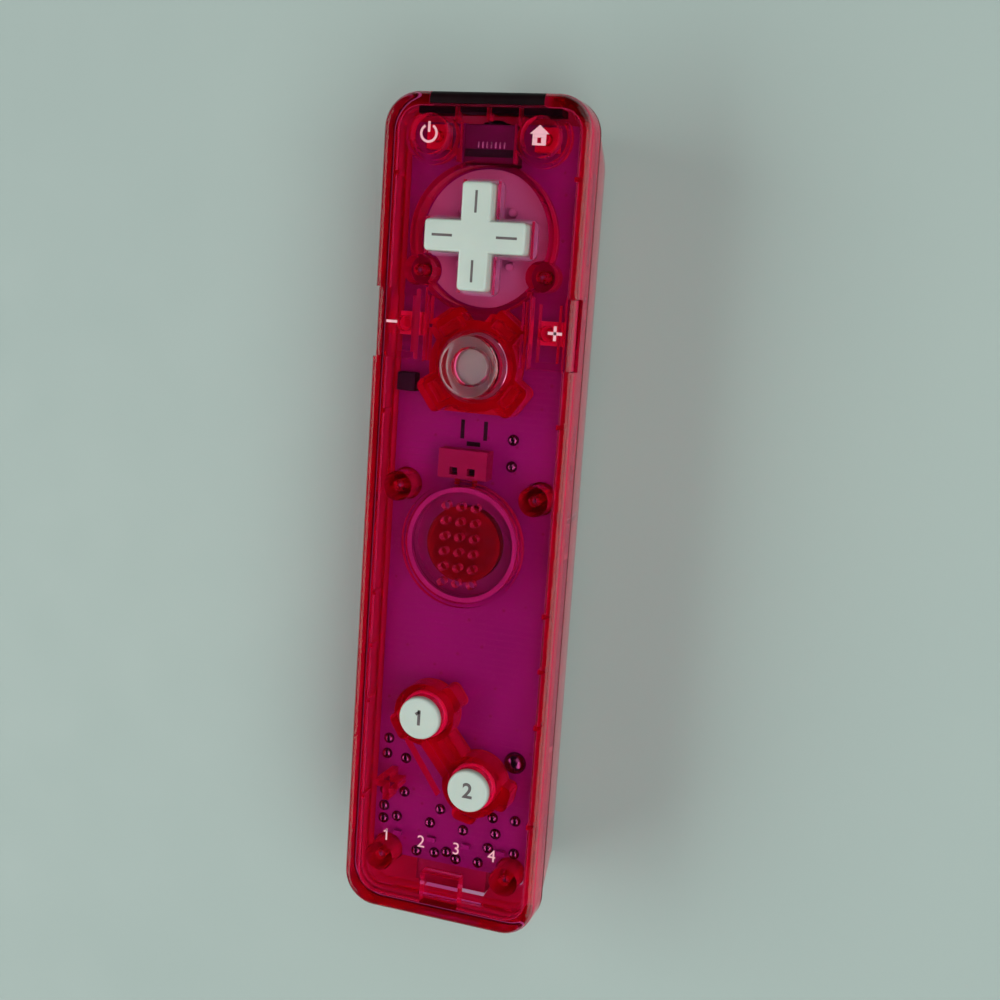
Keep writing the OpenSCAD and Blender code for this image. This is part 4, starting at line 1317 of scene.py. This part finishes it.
@dataclass
class Board:
    """The circuit board with what is soldered to it."""

    top: float = BOARD_TOP
    under: float = 17.8
    end_y: float = 71.6
    speaker_y: float = SPEAKER_Y
    joints: tuple[Spot, ...] = (
        (-12.8, 30.1), (-13, 27.2), (-9.3, 26.9), (-13, 20.2), (-9.2, 20.5), (-13, 17.2), (-13, 14.8),
        (-10.4, 15.6), (-3.9, 15.6), (-2.1, 18.5), (2.5, 15.4), (7.9, 18.8), (12.1, 19), (8.6, 15.9),
        (7.4, 13), (12.3, 12.9), (-6.2, 9.8), (-2.7, 10.1), (-0.4, 10.7), (1.5, 9.7), (5.7, 9.9),
    )
    big_joint: Spot = (11.3, 29.7)
    big_share: float = 2.0
    lead_x: float = 6.8
    lead_rows: Span = (13.9, 18.5)
    pads: Spot = (-0.4, 15.6)
    pad_side: float = 2.1
    pad_half: float = 0.35
    pad_z: Span = (-0.05, 0.06)
    chip_x: float = 10.8
    chip_rows: tuple[float, ...] = (16.3, 19.5, 22.7)
    cap_x: float = 0.67
    cap_half: float = 0.17
    parts: tuple[tuple[str, Finish, float], ...] = (
        ("main_chip", BLACK, 0.15),
        ("power_coil", BLACK, 0.2),
        ("radio_shield", STEEL, 0.1),
        ("clock_crystal", STEEL, 0.3),
        ("player_lamps", LAMP_BODY, 0.12),
        ("touch_switches", BRIGHT_RED, 0.12),
        ("sync_switch", BLACK, 0.12),
        ("sync_button", RED_PLASTIC, 0.2),
        ("sync_plunger", RED_PLASTIC, 0.1),
        ("power_plunger", BRIGHT_RED, 0.15),
        ("home_plunger", BRIGHT_RED, 0.15),
        ("minus_plunger", BRIGHT_RED, 0.15),
        ("plus_plunger", BRIGHT_RED, 0.15),
    )

    def build(self, frame: Frame) -> None:
        """Dress the board, its parts, switches and lamps."""
        frame.dress("main_board", "board_plate", BOARD, edge=0.12)
        self.solder(frame)
        self.chip_row(frame)
        self.pad_frame(frame)
        for node, finish, edge in self.parts:
            frame.dress(node, f"{node}_eased", finish, edge)

    def solder(self, frame: Frame) -> None:
        """Set a domed joint at each soldered lead, its metal darkened as painted shade for the dark
        surroundings it mirrors.
        """
        drop = [(1.0, 0.0), (0.98, 0.15), (0.83, 0.43), (0.58, 0.63), (0.25, 0.74), (0.1, 0.75)]
        spots = [(x, ahead - self.end_y, self.top) for x, ahead in self.joints]
        spots += [(self.lead_x, self.speaker_y + ahead, self.top) for ahead in self.lead_rows]
        small = copies(turned("drop", drop, segments=20), spots, "solder_small")
        big_drop = [(self.big_share * radius, self.big_share * height) for radius, height in drop]
        x, ahead = self.big_joint
        big = turned("solder_big", big_drop, (x, ahead - self.end_y, self.top), segments=32)
        frame.stand_in("solder_points", join([small, big], "solder_drops"), SHADED_SOLDER)

    def chip_row(self, frame: Frame) -> None:
        """Set the small chips with bright end caps under the board."""
        body = block("chip", (-0.55, -0.5, -0.72), (0.55, 0.5, 0.0), edge=0.06)
        sides = (-self.chip_x, self.chip_x)
        spots = [(x, self.speaker_y + ahead, self.under) for x in sides for ahead in self.chip_rows]
        frame.stand_in("board_parts", copies(body, spots, "chip_bodies"), BLACK)
        half = self.cap_half
        caps = [
            block("cap", (x - half, -0.54, -0.78), (x + half, 0.54, 0.0), edge=0.08)
            for x in (-self.cap_x, self.cap_x)
        ]
        frame.fit(copies(join(caps, "cap"), spots, "chip_caps"), SOLDER, "body")

    def pad_frame(self, frame: Frame) -> None:
        """Set three dark bars round the test pads above the speaker."""
        x, y = self.pads
        low, high = (self.top + shift for shift in self.pad_z)
        bars = []
        for middle in (x - self.pad_side, x + self.pad_side):
            left, right = middle - self.pad_half, middle + self.pad_half
            bars.append(block("bar", (left, y - 1.2, low), (right, y + 2.1, high), edge=0.04))
        bars.append(block("bar", (x - 1.2, y - 2.4, low), (x + 1.3, y - 1.6, high), edge=0.04))
        frame.fit(join(bars, "pad_frame"), BLACK, "body")


@dataclass
class Speaker:
    """The speaker under the grille with its plug and leads."""

    at: Spot = (0.0, SPEAKER_Y)
    flange_top: float = 22.9
    cone_r: float = 9.05
    cone_skin: float = 0.22
    cap_r: float = 6.8
    plug_y: float = 7.8
    socket_x: Span = (-2.6, 0.6)
    socket_z: float = 20.85

    def build(self, frame: Frame) -> None:
        """Dress the basket, the magnet and the plug, and turn the cone and its cap."""
        frame.dress("speaker_frame", "speaker_basket", BASKET)
        frame.dress("speaker_magnet", "speaker_core", MAGNET, edge=0.25)
        frame.stand_in("speaker_cone", self.cone(), CONE)
        frame.fit(self.cap(), MAGNET, "body")
        frame.dress("speaker_plug", "plug_body", RED_PLASTIC, edge=0.25)
        frame.dress("speaker_leads", "plug_leads", WIRE)
        frame.fit(self.socket_floors(), BLACK, "body")

    def socket_floors(self) -> bpy.types.Object:
        """Lay a black pad in the foot of each socket of the plug, painted shade for the socket's depth.

        Returns:
            Both pads as one piece.
        """
        # Black pads: painted shade at the foot of each socket
        socket_shade_pad = block("socket_shade_pad", (-0.6, 0.7, 0.0), (0.6, 1.8, 0.3), edge=0.05)
        shifts = [(x, self.plug_y, self.socket_z) for x in self.socket_x]
        return copies(socket_shade_pad, shifts, "socket_shade_pads")

    def cone(self) -> bpy.types.Object:
        """Turn the thin cone with its rolled surround.

        Returns:
            The cone.
        """
        inner, outer = self.cap_r, self.cone_r
        crown = [(inner - 0.4, -1.0), (inner, -0.8), (7.4, -0.4), (8.1, -0.38), (outer, -0.6)]
        under = [(radius, height - self.cone_skin) for radius, height in crown]
        profile = [*under, *reversed(crown)]
        return turned("speaker_diaphragm", profile, (*self.at, self.flange_top), segments=64)

    def cap(self) -> bpy.types.Object:
        """Turn the dark cap over the voice coil, dished towards its middle.

        Returns:
            The cap.
        """
        rim = self.cap_r
        profile = [
            (rim - 0.5, -1.9), (rim - 0.1, -1.8), (rim - 0.1, -0.95), (rim - 0.4, -0.85), (rim - 1.0, -1.0),
            (2.0, -1.25), (0.5, -1.3),
        ]
        return turned("speaker_cap", profile, (*self.at, self.flange_top), segments=64)


@dataclass
class PowerBay:
    """The two cells with their plates and springs."""

    pitch: float = 14.7
    z: float = 8.9
    front: float = 1.2
    back: float = -55.2
    plate: float = 0.4
    length: float = 50.5
    radius: float = 7.25
    jacket: Colour = (0.03, 0.035, 0.05)

    def build(self, frame: Frame) -> None:
        """Turn both cells and dress the plates and the springs."""
        for node, x, nub, lie, way in (
            ("cell_left", -self.pitch / 2, self.front - self.plate, Lie.BACKWARD, -1),
            ("cell_right", self.pitch / 2, self.back + self.plate, Lie.FORWARD, 1),
        ):
            cell = self.cell(f"{node}_jacket", (x, nub, self.z), lie)
            finish = BandedFinish(
                f"{node}_print", Slot.CELL, self.jacket, (0.25, 0.4), metal=0.6, coat=0.4,
                start=nub, length=way * self.length,
            )
            frame.stand_in(node, cell, finish)
        for node in ("cell_bridge", "cell_terminals"):
            frame.dress(node, f"{node}_plate", STEEL, edge=0.08)
        frame.stand_in("cell_springs", frame.twin("cell_springs", "cell_coils", 70.0), STEEL)

    def cell(self, name: str, at: Point, lie: Lie) -> bpy.types.Object:
        """Turn one cell from its nub to its crimped foot.

        Args:
            name: Name of the piece.
            at: Place of the nub's end in millimetres.
            lie: Way from the nub to the foot.

        Returns:
            The cell.
        """
        rim, end = self.radius, self.length
        profile = [
            (2.5, 0.0), (2.7, 0.15), (2.75, 1.4), (3.4, 1.5), (rim - 1.0, 1.5), (rim - 0.6, 1.75),
            (rim - 0.35, 1.55), (rim - 0.05, 1.8), (rim, 2.1), (rim, end - 0.6), (rim - 0.1, end - 0.25),
            (rim - 0.5, end - 0.05), (rim - 1.2, end - 0.2), (rim - 1.6, end), (1.0, end),
        ]
        return turned(name, profile, at, lie, segments=64)


@dataclass
class Hardware:
    """Screws, the trigger's pin, and the rumble motor with its weight."""

    screws: tuple[Spot, ...] = ((10.8, 42.6), (12.3, 5.5), (11.85, -62.4))
    seat_z: float = 8.0
    screw_top: float = 22.0
    head_tall: float = 1.4
    shank_r: float = 0.9
    core_r: float = 0.76
    crest_r: float = 0.94
    thread_pitch: float = 0.9
    plain_tip: float = 1.4
    recess: Span = (1.1, 0.2)

    def build(self, frame: Frame) -> None:
        """Turn the screws, and dress the pin, the motor, its shaft and its weight."""
        spots = [(sign * x, y, 0.0) for x, y in self.screws for sign in (-1, 1)]
        frame.stand_in("case_screws", copies(self.screw(), spots, "screw_set"), STEEL)
        frame.dress("trigger_pin", "trigger_axle", STEEL, edge=0.15)
        frame.dress("rumble_motor", "motor_can", STEEL, edge=0.3)
        frame.dress("rumble_shaft", "motor_shaft", STEEL, edge=0.08)
        frame.dress("rumble_weight", "motor_weight", BRASS, edge=0.12)

    def screw(self) -> bpy.types.Object:
        """Turn a pan-head screw with its thread ridges, and cut a cross recess in its head.

        Returns:
            The screw, about the origin.
        """
        seat, core = self.seat_z, self.core_r
        head = seat - self.head_tall
        profile = [(1.3, head), (1.75, head + 0.2), (1.9, head + 0.55), (1.9, seat), (self.shank_r, seat)]
        height = seat + 0.6
        while height < self.screw_top - self.plain_tip:
            profile += [(core, height), (self.crest_r, height + 0.35), (core, height + 0.7)]
            height += self.thread_pitch
        profile += [(core, self.screw_top - 0.6), (0.3, self.screw_top)]
        piece = turned("screw", profile, segments=24)
        long, thin = self.recess
        for x, y in ((long, thin), (thin, long)):
            cut_away(piece, block("slot", (-x, -y, head - 0.2), (x, y, head + 0.6), edge=0.04))
        return smooth(piece)


@dataclass
class Port:
    """The expansion port in the grip end with its contact strips."""

    def build(self, frame: Frame) -> None:
        """Dress the port and its contacts."""
        frame.dress("expansion_port", "port_housing", RED_PLASTIC, edge=0.2)
        frame.dress("port_contacts", "port_strips", BRASS, edge=0.06)


@dataclass
class Prints:
    """Generic signs on the face: numbers by the lamps, a power sign, a house, a minus and a plus."""

    face: float = 25.0
    small_key: Spot = (9.5, 64.7)
    small_key_top: float = 25.3
    side_key: Spot = (14.4, 33.7)
    minus_size: Span = (2.0, 0.45)
    plus_size: Span = (2.4, 0.5)
    lamps: int = 4
    lamp_y: float = -57.4
    lamp_pitch: float = 6.65
    digit_height: float = 3.1
    depth: float = 0.02
    sunk: float = 0.03
    ring_radii: Span = (1.55, 1.15)
    ring_gap: float = math.radians(32.0)
    stem_shift: float = 1.05
    stem_size: Span = (0.42, 1.7)
    roof_r: float = 1.9
    roof_share: float = 0.5
    roof_shift: float = 0.85
    house_bars: tuple[tuple[Spot, Span], ...] = (
        ((0.0, 0.12), (2.3, 0.6)),
        ((0.0, -1.22), (2.3, 0.36)),
        ((-0.74, -0.6), (0.82, 0.9)),
        ((0.74, -0.6), (0.82, 0.9)),
    )

    def build(self, frame: Frame) -> None:
        """Set every sign on the body that carries it."""
        frame.fit(self.lamp_numbers(), INK_PALE, "body")
        frame.fit(self.power_sign(), INK_PALE, "power_key")
        frame.fit(self.house_sign(), INK_PALE, "home_key")
        x, y = self.side_key
        frame.fit(self.bar("minus_sign", (-x, y), self.minus_size, self.face), INK_PALE, "minus_key")
        long, thin = self.plus_size
        plus = [self.bar("plus", (x, y), size, self.face) for size in ((long, thin), (thin, long))]
        frame.fit(join(plus, "plus_sign"), INK_PALE, "plus_key")

    def lamp_numbers(self) -> bpy.types.Object:
        """Print the numbers of the lamps in a row.

        Returns:
            The numbers as one piece.
        """
        first = -self.lamp_pitch * (self.lamps - 1) / 2
        level = self.face + self.depth / 2
        digits = []
        for i in range(self.lamps):
            spot = (first + self.lamp_pitch * i, self.lamp_y, level)
            digits.append(print_digit("lamp_digit", str(i + 1), self.digit_height, spot))
        return join(digits, "lamp_numbers")

    def bar(self, name: str, at: Spot, size: Span, level: float) -> bpy.types.Object:
        """Print a bar on a surface.

        Args:
            name: Name of the piece.
            at: Middle of the bar.
            size: Its size along x and y.
            level: Height of the surface.

        Returns:
            The bar.
        """
        wide, tall = size
        low = (at[0] - wide / 2, at[1] - tall / 2, level - self.sunk)
        high = (at[0] + wide / 2, at[1] + tall / 2, level + self.depth)
        return block(name, low, high, edge=0.01)

    def power_sign(self) -> bpy.types.Object:
        """Print an open ring with a bar in its gap.

        Returns:
            The power sign.
        """
        x, y = -self.small_key[0], self.small_key[1]
        deselect()
        rims = []
        for radius in self.ring_radii:
            bpy.ops.mesh.primitive_circle_add(vertices=60, radius=radius * MM)
            rims.append(bpy.context.active_object)
        ring = join(rims, "power_ring")
        with editing(ring):
            bpy.ops.mesh.select_mode(type="EDGE")
            select_all()
            bpy.ops.mesh.bridge_edge_loops()
            pick_faces(ring, lambda at, normal: abs(math.atan2(at.x, at.y)) < self.ring_gap)
            bpy.ops.mesh.delete(type="FACE")
        thicken(ring, self.depth)
        place(ring, (x, y, self.small_key_top))
        stem = self.bar("stem", (x, y + self.stem_shift), self.stem_size, self.small_key_top)
        return join([ring, stem], "power_sign")

    def house_sign(self) -> bpy.types.Object:
        """Print a plain house: a roof over four bars round a square door.

        Returns:
            The house sign.
        """
        x, y = self.small_key
        level = self.small_key_top
        walls = [self.bar("wall", (x + at[0], y + at[1]), size, level) for at, size in self.house_bars]
        deselect()
        bpy.ops.mesh.primitive_circle_add(vertices=3, radius=self.roof_r * MM, fill_type="NGON")
        roof = bpy.context.active_object
        roof.scale = (1.0, self.roof_share, 1.0)
        place(roof, (x, y + self.roof_shift, level))
        thicken(roof, self.depth)
        return join([roof, *walls], "house_sign")


@dataclass
class Studio:
    """A pale floor, soft light from all round and the photograph's view."""

    floor_tone: Colour = (0.39, 0.49, 0.45)
    floor_drift: Colour = (0.375, 0.475, 0.44)
    horizon: Span = (0.3, 0.12)
    zenith: Span = (0.62, 0.02)
    lamps: tuple[tuple[str, Point, Span, float], ...] = (
        ("left_softbox", (-0.9, -0.2, 0.72), (1.4, 0.7), 10.0),
        ("right_softbox", (0.8, -0.3, 0.95), (1.4, 0.8), 12.0),
        ("camera_softbox", (0.5, 0.6, 1.0), (0.8, 0.8), 3.0),
    )
    right: Point = (0.9458, 0.0681, -0.3174)
    up: Point = (-0.1137, 0.9853, -0.1273)
    back: Point = (0.3041, 0.1565, 0.9397)
    eye: Point = (0.0736, 0.0397, 0.2308)
    lens: float = 47.03
    sensor: float = 36.0
    nearest: float = 0.01

    def build(self) -> None:
        """Lay the floor, light it and set the camera."""
        self.lay_floor()
        self.light_world()
        self.light_lamps()
        self.set_camera()

    def lay_floor(self) -> None:
        """Lay a wide sheet of pale paper under the object."""
        deselect()
        bpy.ops.mesh.primitive_plane_add(size=4.0)
        floor = bpy.context.active_object
        floor.name = "floor"
        paper = Finish(
            "pale_paper", Slot.WHITE, tone=self.floor_tone, drift=self.floor_drift, rough=(0.6, 0.75),
            grain=60.0, relief=0.05,
        )
        floor.data.materials.append(paper.material())

    def light_world(self) -> None:
        """Light weakly from all round, with next to nothing from overhead."""
        world = bpy.data.worlds.new("soft_room")
        bpy.context.scene.world = world
        world.use_nodes = True
        tree = world.node_tree
        tree.nodes.clear()
        coords = tree.nodes.new("ShaderNodeTexCoord")
        split = tree.nodes.new("ShaderNodeSeparateXYZ")
        ramp = tree.nodes.new("ShaderNodeValToRGB")
        ground = tree.nodes.new("ShaderNodeBackground")
        output = tree.nodes.new("ShaderNodeOutputWorld")
        for element, (place, level) in zip(ramp.color_ramp.elements, (self.horizon, self.zenith)):
            element.position = place
            element.color = (level, level, level, 1.0)
        tree.links.new(coords.outputs["Generated"], split.inputs["Vector"])
        tree.links.new(split.outputs["Z"], ramp.inputs["Fac"])
        tree.links.new(ramp.outputs["Color"], ground.inputs["Color"])
        tree.links.new(ground.outputs["Background"], output.inputs["Surface"])

    def light_lamps(self) -> None:
        """Stand a broad soft lamp on each side, and a weaker one beyond the pointing end."""
        for name, spot, size, watts in self.lamps:
            lamp = bpy.data.lights.new(name, "AREA")
            lamp.shape = "RECTANGLE"
            lamp.size, lamp.size_y = size
            lamp.energy = watts
            holder = bpy.data.objects.new(name, lamp)
            holder.location = spot
            holder.rotation_euler = (-Vector(spot)).to_track_quat("-Z", "Y").to_euler()
            bpy.context.scene.collection.objects.link(holder)

    def set_camera(self) -> None:
        """Set the camera to the photograph's place, turn and lens."""
        data = bpy.data.cameras.new("photo_view")
        data.lens = self.lens
        data.sensor_width = self.sensor
        data.clip_start = self.nearest
        camera = bpy.data.objects.new("photo_view", data)
        turn = Matrix((self.right, self.up, self.back)).transposed().to_4x4()
        camera.matrix_world = Matrix.Translation(self.eye) @ turn
        bpy.context.scene.collection.objects.link(camera)
        bpy.context.scene.camera = camera


def main() -> None:
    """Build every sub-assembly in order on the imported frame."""
    logging.basicConfig(level=logging.INFO, format="%(message)s")
    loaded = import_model()
    bpy.context.scene.view_settings.view_transform = "Standard"
    frame = Frame(loaded["nodes"])
    Studio().build()
    for assembly in (
        Shell(), Window(), DirectionCross(), RoundKeys(), Membranes(), Board(),
        Speaker(), PowerBay(), Hardware(), Port(), Prints(),
    ):
        LOG.info("building %s", type(assembly).__name__)
        assembly.build(frame)


if __name__ == "__main__":
    main()
